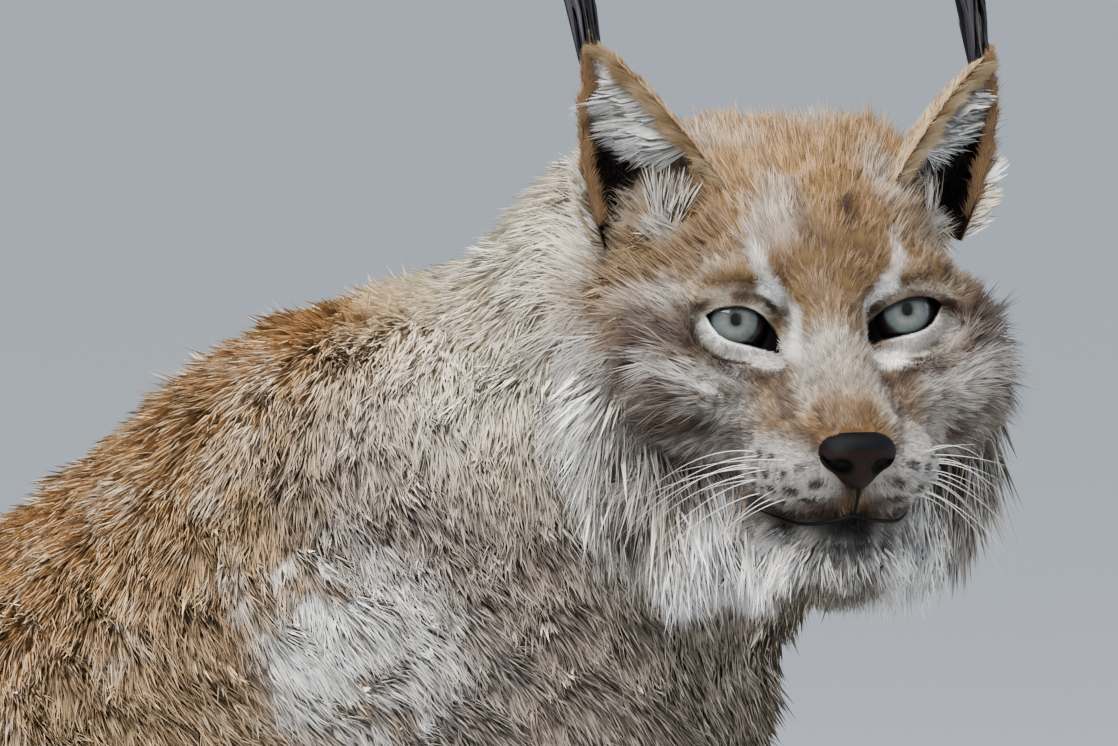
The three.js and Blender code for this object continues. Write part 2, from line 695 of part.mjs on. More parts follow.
// The origin is the middle of the base of the animal's box
group.add(headGroup);
group.updateMatrixWorld(true);
const bounds = new THREE.Box3().setFromObject(group, true);
const middle = bounds.getCenter(new THREE.Vector3());
group.position.set(-middle.x, -middle.y, -bounds.min.z);
group.updateMatrixWorld(true);

export default group;
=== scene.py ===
# %% [markdown]
# # A Eurasian lynx, sitting
# A wild cat in its winter coat is a body that nobody sees under a coat that everybody sees.
# So this file first builds the body as one smooth skin, then grows the coat on it, hair tuft
# by hair tuft, and sets the eyes, the nose leather and the whiskers in place.
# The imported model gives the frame: where the lynx stands and where its eyes are.

import json
import math

import bpy
import numpy as np
import openvdb
from mathutils import Matrix, Vector

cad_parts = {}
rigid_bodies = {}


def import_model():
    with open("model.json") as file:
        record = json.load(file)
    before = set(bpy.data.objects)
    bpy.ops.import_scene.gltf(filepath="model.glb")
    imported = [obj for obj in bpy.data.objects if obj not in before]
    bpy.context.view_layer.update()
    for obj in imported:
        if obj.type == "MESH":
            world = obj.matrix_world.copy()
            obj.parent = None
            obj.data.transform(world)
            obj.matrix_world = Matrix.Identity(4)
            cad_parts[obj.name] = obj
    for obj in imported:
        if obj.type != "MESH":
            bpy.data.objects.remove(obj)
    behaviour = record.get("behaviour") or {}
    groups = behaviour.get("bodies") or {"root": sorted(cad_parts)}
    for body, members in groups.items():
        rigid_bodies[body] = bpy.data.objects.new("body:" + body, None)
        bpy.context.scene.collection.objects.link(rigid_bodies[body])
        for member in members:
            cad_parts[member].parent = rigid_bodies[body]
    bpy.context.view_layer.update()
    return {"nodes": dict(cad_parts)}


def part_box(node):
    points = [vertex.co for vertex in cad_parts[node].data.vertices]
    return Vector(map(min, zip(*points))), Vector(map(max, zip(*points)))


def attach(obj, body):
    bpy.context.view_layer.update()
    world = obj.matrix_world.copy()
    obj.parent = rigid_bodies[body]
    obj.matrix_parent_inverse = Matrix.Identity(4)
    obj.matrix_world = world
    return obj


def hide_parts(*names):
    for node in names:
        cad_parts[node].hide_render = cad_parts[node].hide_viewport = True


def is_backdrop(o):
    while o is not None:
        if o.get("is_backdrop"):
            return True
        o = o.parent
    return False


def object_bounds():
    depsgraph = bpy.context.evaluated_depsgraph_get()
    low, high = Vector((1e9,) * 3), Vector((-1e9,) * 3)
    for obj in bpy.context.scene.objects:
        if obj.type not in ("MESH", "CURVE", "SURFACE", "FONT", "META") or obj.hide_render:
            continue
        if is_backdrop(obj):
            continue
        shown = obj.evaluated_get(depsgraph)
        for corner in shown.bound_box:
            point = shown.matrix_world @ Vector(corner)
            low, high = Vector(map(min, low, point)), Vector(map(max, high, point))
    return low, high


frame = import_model()
rng = np.random.default_rng(11)


def mm(*values):
    """Millimetres as an array of metres."""
    return np.array(values, dtype=np.float64) * 0.001


def linear(code):
    """An sRGB hex colour such as #a07850 as linear red, green and blue."""
    parts = np.array([int(code[i:i + 2], 16) for i in (1, 3, 5)]) / 255
    return np.where(parts <= 0.04045, parts / 12.92, ((parts + 0.055) / 1.055) ** 2.4)


def ramp(values, start, end):
    """0 below start and 1 above end, with a smooth rise between them."""
    t = np.clip((values - start) / (end - start), 0, 1)
    return t * t * (3 - 2 * t)


def unit(vectors):
    length = np.linalg.norm(vectors, axis=-1, keepdims=True)
    return vectors / np.maximum(length, 1e-12)


print("nodes in the frame:", len(frame["nodes"]))

# %% [markdown]
# ## The head's own frame
# The head is turned to the lynx's right, which would make every place on the face awkward
# to name. In a frame of its own, with the middle between the eyes as origin, x to the left,
# y to the back and z up, the face is alike on both sides and each place needs one number.

# %% The head's frame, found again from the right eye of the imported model
EYES_AT = mm(-110, 0, 618)
HEAD_TURN, HEAD_NOD, HEAD_TILT = -63.8, 4.2, -0.3
EYE_SIDE, EYE_BACK, EYE_RADIUS = mm(36, 1.5, 14.5)
EYE_LEVEL = {"left": 0.0015, "right": -0.001}

HEAD_AXES = np.array(
    Matrix.Rotation(math.radians(HEAD_TURN), 3, "Z")
    @ Matrix.Rotation(math.radians(HEAD_NOD), 3, "X")
    @ Matrix.Rotation(math.radians(HEAD_TILT), 3, "Y"))


def to_head(points):
    return (points - EYES_AT) @ HEAD_AXES


def turned(directions):
    """Directions of the head's frame, as the body sees them."""
    return np.asarray(directions) @ HEAD_AXES.T


def from_head(points):
    return turned(points) + EYES_AT


def mirrored(points):
    """The same places with the right side of the head folded onto the left."""
    return np.abs(points[:, 0:1]) * [1, 0, 0] + points * [0, 1, 1]


eye_low, eye_high = (np.array(corner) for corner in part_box("eye_right"))
ORIGIN = (eye_low + eye_high) / 2 - from_head([-EYE_SIDE, EYE_BACK, EYE_LEVEL["right"]])
print("the frame's origin lies at", np.round(-ORIGIN * 1000, 1), "mm of the lynx's own")

# %% [markdown]
# ## The body as a field
# A field gives each point of space its distance to a surface. Muscles and bones become eggs
# and tapered limbs, and a smooth minimum lets them flow into each other as flesh does. The
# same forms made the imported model, where they reach out to the ends of the coat.


# %% Forms of the field
def egg(centre, semi, lean=0.0):
    cos, sin = math.cos(math.radians(lean)), math.sin(math.radians(lean))

    def form(p):
        d = p - centre
        along = d[:, 1] * cos + d[:, 2] * sin
        up = d[:, 2] * cos - d[:, 1] * sin
        scaled = np.stack([d[:, 0], along, up], axis=1) / semi
        near = np.sqrt((scaled ** 2).sum(1))
        slope = np.sqrt(((scaled / semi) ** 2).sum(1)) + 1e-9
        return near * (near - 1) / slope

    return form


def limb(start, end, start_radius, end_radius, flatten=1.0):
    axis = end - start

    def form(p):
        d = p - start
        t = np.clip(d @ axis / (axis @ axis), 0, 1)
        away = d - t[:, None] * axis
        away[:, 0] /= flatten
        return np.linalg.norm(away, axis=1) - (start_radius + (end_radius - start_radius) * t)

    return form


def smooth_min(a, b, width):
    overlap = np.maximum(width - np.abs(a - b), 0) / width
    return np.minimum(a, b) - overlap ** 2 * width * 0.25


def blend(width, forms):
    def form(p):
        value = forms[0](p)
        for other in forms[1:]:
            value = smooth_min(value, other(p), width)
        return value

    return form


def carve(width, form, hollow):
    return lambda p: -smooth_min(-form(p), hollow(p), width)


print("forms: egg, limb, blend, carve")

# %% [markdown]
# ## The head
# Round skull, short deep muzzle with full whisker pads, wide cheeks and the core of the ruff
# under them. All places are in the head's frame and serve both sides.

# %% The head's forms
skull = [
    egg(mm(0, 52, 18), mm(68, 66, 61)),
    egg(mm(27, 60, 40), mm(40, 44, 38)),
    egg(mm(0, 20, 14), mm(52, 42, 46)),
    egg(mm(34, -8, 21), mm(21, 13, 10)),
]
muzzle = [
    limb(mm(0, -10, -2), mm(0, -50, -40), 0.021, 0.0155),
    egg(mm(20, -42, -54), mm(19, 21, 17)),
    egg(mm(0, -20, -50), mm(38, 36, 27)),
    egg(mm(0, -35, -80), mm(19, 19, 13)),
    egg(mm(0, -8, -76), mm(36, 36, 24)),
    egg(mm(30, -18, -27), mm(13, 12.5, 17)),
]
cheeks = [
    egg(mm(48, 10, -20), mm(35, 42, 42)),
    egg(mm(54, 36, -38), mm(31, 34, 50)),
    egg(mm(0, 22, -80), mm(38, 40, 28)),
    egg(mm(44, 24, -62), mm(28, 28, 36)),
]
eye_socket = egg(mm(36, -14, -1), mm(17, 13, 10))
head_half = carve(0.007, blend(0.013, skull + muzzle + cheeks), eye_socket)


def head(p):
    return head_half(mirrored(to_head(p)))


print("the head has", len(skull + muzzle + cheeks), "forms")

# %% [markdown]
# ## The body
# A sitting cat carries its back as a slope from the withers to the rump and stands on straight
# forelegs, with the hind feet flat under the thighs and the short tail laid to its left.

# %% The body's forms
SIDES = {"left": 1, "right": -1}
SPINE = [
    (mm(0, 160, 504), 0.107),
    (mm(0, 228, 482), 0.111),
    (mm(0, 297, 425), 0.111),
    (mm(0, 350, 345), 0.120),
    (mm(0, 402, 230), 0.140),
    (mm(0, 408, 138), 0.134),
]
TRUNK_FLATTEN = 0.96
FOREPAW_SIDE, FOREPAW_FRONT = mm(66, 56)
HIND_FOOT_SIDE, HIND_FOOT_FRONT = mm(114, 206)
TOES = [(-0.032, 0.012), (-0.011, 0.0), (0.011, 0.0), (0.032, 0.012)]


def side_of(sign, point):
    return np.asarray(point) * [sign, 1, 1]


trunk_forms = [
    limb(a[0], b[0], a[1], b[1], TRUNK_FLATTEN) for a, b in zip(SPINE[:-1], SPINE[1:])]
neck_forms = [
    limb(mm(0, 180, 538), mm(-8, 116, 564), 0.081, 0.079),
    limb(mm(-8, 116, 564), mm(-26, 62, 598), 0.079, 0.086),
    limb(mm(-4, 136, 500), mm(-26, 58, 560), 0.088, 0.074),
    egg(mm(-26, 90, 628), mm(62, 48, 54)),
]
chest_forms = [
    egg(mm(0, 132, 430), mm(84, 92, 112)),
    egg(mm(50, 194, 532), mm(46, 78, 86), -36),
    egg(mm(-50, 194, 532), mm(46, 78, 86), -36),
]
leg_forms, paw_forms = [], []
for sign in SIDES.values():
    wrist = mm(70, 96, 120)
    hock = mm(108, 300, 90)
    leg_forms += [
        egg(side_of(sign, mm(70, 132, 425)), mm(46, 72, 112), -8),
        limb(side_of(sign, mm(78, 146, 345)), side_of(sign, wrist), 0.050, 0.038),
        limb(side_of(sign, wrist), mm(66 * sign, 82, 40), 0.038, 0.038),
        egg(side_of(sign, mm(88, 345, 172)), mm(68, 134, 140), 12),
        limb(side_of(sign, mm(102, 236, 206)), side_of(sign, hock), 0.054, 0.048),
        limb(side_of(sign, hock), side_of(sign, mm(110, 395, 58)), 0.048, 0.042),
        limb(side_of(sign, mm(112, 396, 38)), side_of(sign, mm(112, 230, 32)), 0.040, 0.039),
    ]
    for side, front in ((FOREPAW_SIDE, FOREPAW_FRONT), (HIND_FOOT_SIDE, HIND_FOOT_FRONT)):
        paw_forms.append(egg(np.array([side * sign, front, 0.026]), mm(45, 50, 35)))
        for across, back in TOES:
            toe = np.array([side * sign + across, front - 0.034 + back, 0.019])
            paw_forms.append(egg(toe, mm(14, 28, 24)))
tail_forms = [
    limb(mm(0, 500, 96), mm(22, 566, 44), 0.052, 0.040),
    limb(mm(22, 566, 44), mm(70, 606, 34), 0.040, 0.037),
    limb(mm(70, 606, 34), mm(122, 604, 32), 0.037, 0.035),
]
trunk = blend(0.040, trunk_forms + neck_forms + chest_forms)
legs = blend(0.026, leg_forms)
paws = blend(0.006, paw_forms)
tail = blend(0.020, tail_forms)


def parts_of(p):
    """The distance to each main part of the body."""
    return {"trunk": trunk(p), "legs": legs(p), "paws": paws(p), "tail": tail(p), "head": head(p)}


JOIN_WIDTHS = {"legs": 0.034, "tail": 0.024, "paws": 0.012, "head": 0.026}


def joined(parts):
    value = parts["trunk"]
    for name, width in JOIN_WIDTHS.items():
        value = smooth_min(value, parts[name], width)
    return value


print("the body has", len(trunk_forms + leg_forms + paw_forms + tail_forms), "forms")

# %% [markdown]
# ## How deep the coat is
# The winter coat stands a little over a centimetre off the trunk and the tail, less off the
# legs, and a few millimetres off the face and the paws. The skin is the same field pushed in by
# that depth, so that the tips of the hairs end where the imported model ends. Round each eye it
# is eased in a little more, so that it meets the thin lids without a step.

# %% Depth of the coat
COAT_DEPTH = {"trunk": 0.0125, "legs": 0.010, "paws": 0.005, "tail": 0.015, "head": 0.0065}
FACE_DEPTH = 0.0022
EYE_DEPTH = 0.0010
NOSE_TIP = mm(0, -62, -46)
SHARE_WIDTH = 0.010
EAR_HOLLOW = egg(mm(60, 37, 51), mm(19, 15, 15))


def shares(parts):
    """How much each main part has to say at each point, adding up to 1."""
    nearest = np.minimum.reduce(list(parts.values()))
    raw = {name: np.exp(-(value - nearest) / SHARE_WIDTH) for name, value in parts.items()}
    whole = sum(raw.values())
    return {name: value / whole for name, value in raw.items()}


def head_depth(q):
    """Coat depth on the head, from mirrored places in its frame."""
    back = ramp(np.linalg.norm(q - NOSE_TIP, axis=1), 0.035, 0.140)
    depth = FACE_DEPTH + (COAT_DEPTH["head"] - FACE_DEPTH) * back
    depth = depth * (1 - 0.7 * (1 - ramp(EAR_HOLLOW(q), 0.0, 0.006)))
    from_eye = np.linalg.norm(q - [EYE_SIDE, EYE_BACK - EYE_RADIUS, 0], axis=1)
    return EYE_DEPTH + (depth - EYE_DEPTH) * ramp(from_eye, 0.015, 0.032)


def coat_depth(p, parts):
    share = shares(parts)
    depth = sum(share[name] * COAT_DEPTH[name] for name in parts if name != "head")
    return depth + share["head"] * head_depth(mirrored(to_head(p)))


SOLE_HEIGHT = 0.0008
SOCKET_EASE = 0.0032


def socket_ease(q):
    """How much lower the skin lies round an eye, so that it meets the lids without a step."""
    from_axis = np.linalg.norm(q[:, [0, 2]] - [EYE_SIDE - 0.003, 0], axis=1)
    return SOCKET_EASE * (1 - ramp(from_axis, 0.016, 0.034)) * ramp(-q[:, 1], -0.008, 0.004)


def skin_field(p):
    parts = parts_of(p)
    q = mirrored(to_head(p))
    value = joined(parts) + coat_depth(p, parts) + socket_ease(q)
    value = -smooth_min(-value, EAR_HOLLOW(q), 0.004)
    return np.maximum(value, SOLE_HEIGHT - p[:, 2])


print("coat depth in mm:", {name: round(value * 1000) for name, value in COAT_DEPTH.items()})

# %% [markdown]
# ## From the field to a skin
# The field is sampled on a grid and its zero level becomes a mesh of quads. The head gets a
# fine grid of its own, turned with the head, and the body a coarser one. The two sheets are
# one object and overlap by a centimetre behind the cheeks, under the coat, so no slit shows.


# %% The skin's mesh
PROBE_STEP = 0.0005


def level_mesh(field, low, high, cell):
    """Points and quads of the zero level of a field in a box."""
    counts = np.ceil((high - low) / cell).astype(int) + 1
    axes = [low[i] + cell * np.arange(counts[i]) for i in range(3)]
    grid_points = np.stack(np.meshgrid(*axes, indexing="ij"), axis=-1).reshape(-1, 3)
    values = np.concatenate([field(part) for part in np.array_split(grid_points, 8)])
    grid = openvdb.FloatGrid(1.0)
    grid.copyFromArray(values.reshape(counts).astype(np.float32))
    points, quads = grid.convertToQuads(0.0)
    return points.astype(np.float64) * cell + low, quads


def outward(points, faces, field):
    """The same faces, turned so that they look to where the field rises."""
    corner = points[faces[:, :3]]
    normal = unit(np.cross(corner[:, 1] - corner[:, 0], corner[:, 2] - corner[:, 0]))
    middle = corner.mean(axis=1)
    step = PROBE_STEP * normal
    rising = (field(middle + step) > field(middle - step)).mean()
    return faces if rising > 0.5 else faces[:, ::-1]


HEAD_BOX = mm(-128, -96, -150), mm(128, 132, 114)
HEAD_END, HEAD_END_NORMAL = mm(0, 74, 6), np.array([0, -0.94, 0.34])
BODY_BOX = mm(-190, -30, -20), mm(190, 680, 720)
HEAD_CELL, BODY_CELL = 0.0035, 0.008
SHEET_OVERLAP = 0.010


def in_head(q, margin=0.0):
    inside = ((q > HEAD_BOX[0] + margin) & (q < HEAD_BOX[1] - margin)).all(axis=1)
    return inside & ((q - HEAD_END) @ HEAD_END_NORMAL > margin)


def head_skin_field(q):
    return skin_field(from_head(q))


head_points, head_faces = level_mesh(head_skin_field, *HEAD_BOX, HEAD_CELL)
head_faces = outward(head_points, head_faces, head_skin_field)
head_faces = head_faces[in_head(head_points[head_faces].mean(axis=1))]
body_points, body_faces = level_mesh(skin_field, *BODY_BOX, BODY_CELL)
body_faces = outward(body_points, body_faces, skin_field)
body_middles = to_head(body_points[body_faces].mean(axis=1))
body_faces = body_faces[~in_head(body_middles, SHEET_OVERLAP)]
print("skin quads on the head and the body:", len(head_faces), len(body_faces))

# %% [markdown]
# ## The lids
# The lids are part of the face, so they come from the same field, on a much finer grid: a thin
# shell over the eyeball, flowing into the brow and the cheek, and opened by two arcs that meet
# in slanted corners. They take the place of the coarser skin round each eye.

# %% Lids
LID_THICKNESS, LID_BLEND, LID_EDGE = 0.0019, 0.010, 0.0012
LID_WINDOW, LID_REACH = 0.0142, 0.027
OPENING_MIDDLE, OPENING_HALF = mm(-3.75, -4.25), 0.0182
OPENING_SLANT = math.radians(28)
OPENING_ALONG = [-1, -0.82, -0.54, -0.13, 0.14, 0.38, 0.6, 0.81, 0.92, 1]
OPENING_UPPER = mm(0, 3.8, 7.4, 9.8, 10.2, 9.6, 7.9, 5.4, 3.2, 0)
OPENING_LOWER = mm(0, 0.4, 1.0, 2.4, 3.6, 4.4, 4.2, 2.6, 1.0, 0)
PATCH_REACH, PATCH_OVERLAP = mm(25.5, 2)
LID_CELL = 0.0008


def eye_middle(side, sign=1):
    return np.array([EYE_SIDE * sign, EYE_BACK, EYE_LEVEL[side]])


def opening(q, side):
    """Distance to the slanted almond between the lids, at mirrored places, negative inside."""
    across = q[:, 0] - EYE_SIDE - OPENING_MIDDLE[0]
    up = q[:, 2] - EYE_LEVEL[side] - OPENING_MIDDLE[1]
    a = (across * math.cos(OPENING_SLANT) + up * math.sin(OPENING_SLANT)) / OPENING_HALF
    b = up * math.cos(OPENING_SLANT) - across * math.sin(OPENING_SLANT)
    upper = b - np.interp(a, OPENING_ALONG, OPENING_UPPER)
    lower = -b - np.interp(a, OPENING_ALONG, OPENING_LOWER)
    ends = (np.abs(a) - 1) * OPENING_HALF
    return np.maximum(np.maximum(upper, lower) * 0.8, ends)


def lid_sheet(side):
    """Points and quads of the skin round one eye, in the frame of the body."""
    sign, eye = SIDES[side], eye_middle(side)

    def field(q):
        ball = np.linalg.norm(q - eye, axis=1)
        shell = ball - EYE_RADIUS - LID_THICKNESS
        value = smooth_min(head_skin_field(q * [sign, 1, 1]), shell, LID_BLEND)
        away = np.linalg.norm((q - eye)[:, [0, 2]], axis=1)
        in_front = np.maximum(opening(q, side), np.maximum(q[:, 1] - EYE_BACK, away - LID_WINDOW))
        value = np.maximum(-smooth_min(-value, in_front, LID_EDGE), EYE_RADIUS + 0.0001 - ball)
        return np.maximum(value, ball - PATCH_REACH)

    reach = PATCH_REACH + 0.002
    at, faces = level_mesh(field, eye - reach, eye + reach * np.array([1, 0.6, 1]), LID_CELL)
    faces = outward(at, faces, field)
    ball = np.linalg.norm(at[faces].mean(axis=1) - eye, axis=1)
    faces = faces[(ball < PATCH_REACH - 0.0007) & (ball > EYE_RADIUS + 0.0003)]
    return from_head(at * [sign, 1, 1]), faces if sign > 0 else faces[:, ::-1]


def near_eye(q, reach):
    """True for places in the head's frame that are near an eyeball."""
    away = [np.linalg.norm(q - eye_middle(side, sign), axis=1) for side, sign in SIDES.items()]
    return np.minimum(*away) < reach


sheets = [lid_sheet(side) for side in SIDES]
middles = head_points[head_faces].mean(axis=1)
head_faces = head_faces[~near_eye(middles, PATCH_REACH - PATCH_OVERLAP)]
print("quads round each eye:", [len(faces) for at, faces in sheets])

# %% [markdown]
# ## Objects from arrays
# Every piece of this model is made from arrays of points, so one function turns them into an
# object: places, faces, the unwrap called OFBake, colours and normals. It also moves
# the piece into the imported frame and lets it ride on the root. Whole arrays are filled at
# once, because adding four hundred thousand tufts one by one would be far too slow.


# %% Making an object
def make_object(name, points, faces, material, nodes=(), uvs=None, colours=None, normals=None):
    mesh = bpy.data.meshes.new(name)
    size = faces.shape[1]
    mesh.vertices.add(len(points))
    mesh.vertices.foreach_set("co", (points + ORIGIN).astype(np.float32).ravel())
    mesh.loops.add(faces.size)
    mesh.loops.foreach_set("vertex_index", faces.astype(np.int32).ravel())
    mesh.polygons.add(len(faces))
    mesh.polygons.foreach_set("loop_start", np.arange(0, faces.size, size, dtype=np.int32))
    mesh.update(calc_edges=True)
    mesh.polygons.foreach_set("use_smooth", np.ones(len(faces), dtype=bool))
    layer = mesh.uv_layers.new(name="OFBake")
    if uvs is not None:
        layer.uv.foreach_set("vector", uvs[faces.ravel()].astype(np.float32).ravel())
    if colours is not None:
        paint = mesh.color_attributes.new("coat_colour", "FLOAT_COLOR", "POINT")
        rgba = np.concatenate([np.clip(colours, 0, 1), np.ones((len(points), 1))], axis=1)
        paint.data.foreach_set("color", rgba.astype(np.float32).ravel())
    if normals is not None:
        mesh.normals_split_custom_set_from_vertices(normals.astype(np.float32))
    mesh.materials.append(material)
    piece = bpy.data.objects.new(name, mesh)
    bpy.context.scene.collection.objects.link(piece)
    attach(piece, "root")
    if nodes:
        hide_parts(*nodes)
    return piece


def ring_quads(rows, size):
    """Quads between rows of points, each row a closed ring of one size."""
    number = np.arange(rows * size).reshape(rows, size)
    a, b = number[:-1], number[1:]
    return np.stack([a, np.roll(a, -1, 1), np.roll(b, -1, 1), b], -1).reshape(-1, 4)


print("every piece rides on the root")

# %% [markdown]
# ## Finishes
# Hair is keratin: a clear protein of IOR 1.55 with colour inside, a soft shine along it and
# light catching its edges, for which a little sheen stands here. The skin between its roots
# has almost no shine. The nose leather is bare, pebbled skin with a faint grease. The eye is
# wet: a clear coat over a coloured iris. A hair shader is meant for curves. These tufts are
# plain meshes, so the principled shader serves them, as it does all the other pieces.


# %% Materials
def add_node(tree, kind, settings=(), links=()):
    """Adds a node, gives its inputs and properties their values and links its inputs."""
    node = tree.nodes.new(kind)
    for key, value in dict(settings).items():
        if key in node.inputs:
            node.inputs[key].default_value = value
        else:
            setattr(node, key, value)
    for key, source in dict(links).items():
        tree.links.new(source, node.inputs[key])
    return node


def new_material(name, settings, colour=None):
    """A principled material, coloured by the painted attribute unless a colour is given."""
    material = bpy.data.materials.new(name)
    material.use_nodes = True
    tree = material.node_tree
    shader = tree.nodes["Principled BSDF"]
    for key, value in settings.items():
        shader.inputs[key].default_value = value
    if colour is None:
        paint = add_node(tree, "ShaderNodeAttribute", {"attribute_name": "coat_colour"})
        tree.links.new(paint.outputs["Color"], shader.inputs["Base Color"])
    else:
        shader.inputs["Base Color"].default_value = (*linear(colour), 1)
    return material


HAIR = {"Roughness": 0.6, "IOR": 1.55, "Specular IOR Level": 0.18, "Sheen Weight": 0.05,
        "Sheen Roughness": 0.5}
hair = new_material("soft_winter_hair", HAIR)
skin_under_hair = new_material("skin_under_dense_hair", {
    "Roughness": 0.9, "IOR": 1.55, "Specular IOR Level": 0.04})
wet_eye = new_material("wet_eye", {"Roughness": 0.5, "IOR": 1.38, "Specular IOR Level": 0.05,
                                   "Coat Weight": 0.7, "Coat Roughness": 0.02, "Coat IOR": 1.38})
nose_leather = new_material("pebbled_nose_leather", {"Roughness": 0.5, "IOR": 1.45,
                                                     "Specular IOR Level": 0.08})
lip_skin = new_material("dark_bare_lip", {"Roughness": 0.6, "IOR": 1.45, "Specular IOR Level": 0.08})
whisker_hair = new_material("white_whisker", {"Roughness": 0.35, "IOR": 1.55}, "#d8d6d0")
print("materials:", [m.name for m in bpy.data.materials])

# %% [markdown]
# ## Uneven nature
# No two tufts are alike, but neighbours are: hairs gather in small clumps that share a lean and
# a colour. A sum of waves in random directions gives a smooth random value in space, and its
# slope shows each hair the way to the middle of its clump.

# %% Waves in space
WAVE_COUNT = 20


def waves(points, length, seed):
    """A smooth random value of about -1 to 1 and its slope, in waves of one length."""
    dice = np.random.default_rng(seed)
    direction = unit(dice.normal(size=(WAVE_COUNT, 3))) * (2 * math.pi / length)
    phase = dice.uniform(0, 2 * math.pi, WAVE_COUNT)
    angle = points @ direction.T + phase
    scale = 1 / math.sqrt(WAVE_COUNT)
    value = np.sin(angle).sum(1) * scale
    slope = (np.cos(angle) @ direction) * scale * length / (2 * math.pi)
    return value, slope


print("waves at the eyes:", np.round(waves(EYES_AT[None], 0.01, 1)[0], 2))

# %% [markdown]
# ## Markings
# The markings are painted by place, with the same function for skin and hair. That takes two
# brushes: a stroke along a few places and a spot round one, both soft at their edge. A painted
# image would need the coat laid flat first, and places in space don't.

# %% Colours of the coat, and brushes
TAN, ORANGE_TAN, BROWN = linear("#654f35"), linear("#7e5f38"), linear("#3b2a1c")
DARK, BLACK, WHITE = linear("#33271e"), linear("#0d0b0c"), linear("#e9e8e6")
GREY_WHITE, GREY_BUFF, BEARD_BUFF_AND_SHADE = linear("#8d8a86"), linear("#82776a"), linear("#574f42")
RUFOUS, FLANK, CREAM = linear("#b7956a"), linear("#85705b"), linear("#f2f0ec")
PALE_TIP = linear("#e6dfd4")
NECK_BROWN, NAPE_CREAM = linear("#7a716a"), linear("#e2d8c6")
LID_BUFF_AND_PAINTED_LIGHT, PAD_GREY = linear("#a79f92"), linear("#9b9996")


def shallow(q):
    """Places with the front of the face flattened, so that a stroke reaches the skin below it."""
    return np.stack([q[..., 0], np.where(q[..., 1] < 0, 0.4, 1.0) * q[..., 1], q[..., 2]], axis=-1)


def stroke(q, places, width):
    """1 on a line through places, fading to 0 at its width."""
    nearest = np.full(len(q), np.inf)
    for start, end in zip(places[:-1], places[1:]):
        axis = end - start
        t = np.clip((q - start) @ axis / (axis @ axis), 0, 1)
        nearest = np.minimum(nearest, np.linalg.norm(q - start - t[:, None] * axis, axis=1))
    return 1 - ramp(nearest, width * 0.45, width)


def spot(q, centre, radii):
    return 1 - ramp(np.linalg.norm((q - centre) / radii, axis=1), 0.55, 1.0)


def paint(ground, over, amount):
    return ground + (over - ground) * np.clip(amount, 0, 1)[:, None]


print("tan of the forehead, linear:", np.round(TAN, 3))

# %% [markdown]
# ## Lines of the face
# A lynx wears white lines over and under each eye, dark ones beside them, dark bars on the brow
# and a black lip, and the hollow at the foot of each ear is painted black as painted shade. Each
# stroke is a colour, the places that it runs through on the left side in millimetres of the head's
# frame, its width in millimetres and its strength. The whisker pads carry rows of dark dashes,
# where the whiskers stand.

# %% Strokes and dashes
FACE_STROKES = [
    (WHITE, [(17, -20, -12), (17, -20, 4), (25, -18, 14)], 6.0, 0.95),
    (WHITE, [(25, -18, 14), (29, -21, 24), (30, -14, 34)], 4.6, 0.45),
    (BROWN, [(22, -22, 19), (22, -21, 29), (25, -12, 42)], 4.0, 0.55),
    (BROWN, [(38, -20, 19), (46, -18, 21), (55, -10, 24)], 3.5, 0.35),
    (BROWN, [(9, -14, 34), (12, -4, 50), (14, 8, 64)], 5.0, 0.75),
    (BROWN, [(28, -6, 44), (32, 6, 60)], 5.0, 0.7),
    (BROWN, [(21, -12, 4.5), (26, -12, 8.5), (34, -12, 10.5), (43, -12, 10), (52, -12, 6)], 3.2, 0.9),
    (WHITE, [(51, -18, -2), (42, -19, -6), (34, -19, -9.5), (22, -20, -14)], 6.5, 1.0),
    (DARK, [(66, -18, 0), (57, -25, -8), (48, -28, -13), (40, -29, -17), (28, -28, -20)], 4.6, 0.9),
    (BROWN, [(50, -17, 6), (62, -17, 6.5), (74, -8, 2), (76, -5, -8)], 4.5, 0.85),
    (BROWN, [(19, -27, -15), (21, -31, -25), (22, -40, -32)], 5.5, 0.9),
    (BROWN, [(76, -8, -5), (73, -14, -22), (64, -20, -36), (56, -24, -44), (60, -12, -58)], 13, 0.95),
    (BROWN, [(66, -14, -14), (54, -22, -24), (44, -26, -28)], 4.0, 0.45),
    (WHITE, [(70, -10, -12), (60, -18, -20), (50, -24, -25)], 4.0, 0.5),
    (DARK, [(22, -45, -33), (17, -55, -40), (16, -58, -45)], 3.2, 0.75),
    (DARK, [(0, -60, -58), (0, -58, -72)], 6.0, 0.95),
    (BROWN, [(37, -26, -68), (29, -38, -70), (19, -49, -70), (9, -55, -69)], 7.0, 0.95),
    (BLACK, [(33, -26, -73), (25, -37, -75.5), (17, -48, -77), (9, -53, -77), (0, -55, -75)], 9.0, 1.0),
    # painted shade: black in the hollow at the foot of the ear
    (BLACK, [(48, 14, 50), (58, 28, 46), (69, 42, 42), (77, 54, 46)], 11, 0.97),
]
PAD_ROWS = [
    [(39, -38, -48), (31, -56, -47)],
    [(38, -44, -55), (29, -60, -53), (20, -63, -50)],
    [(37, -30, -62), (33, -55, -60), (22, -61, -60), (14, -62, -56)],
    [(36, -16, -67), (26, -56, -66), (10, -58, -63)],
]
DASH_WIDTH, DASH_WAVES = 0.0030, 900
PAD_PLACE, PAD_RADII = (26, -46, -56), (30, 34, 20)


def whisker_pads(q):
    return spot(q, mm(*PAD_PLACE), mm(*PAD_RADII))


def face_lines(q, fine, colour):
    """The strokes and the dashes of the pads, painted over the colour at mirrored places q."""
    for tone, places, width, amount in FACE_STROKES:
        amount = amount * (0.85 + 0.25 * fine)
        line = shallow(mm(*places))
        colour = paint(colour, tone, stroke(shallow(q), line, width * 0.001) * amount)
    for row in PAD_ROWS:
        gaps = ramp(np.sin(np.linalg.norm(q - mm(*row[0]), axis=1) * DASH_WAVES), -0.5, 0.3)
        colour = paint(colour, DARK, stroke(shallow(q), shallow(mm(*row)), DASH_WIDTH) * gaps)
    return colour


print("strokes on each side of the face:", len(FACE_STROKES) + len(PAD_ROWS))

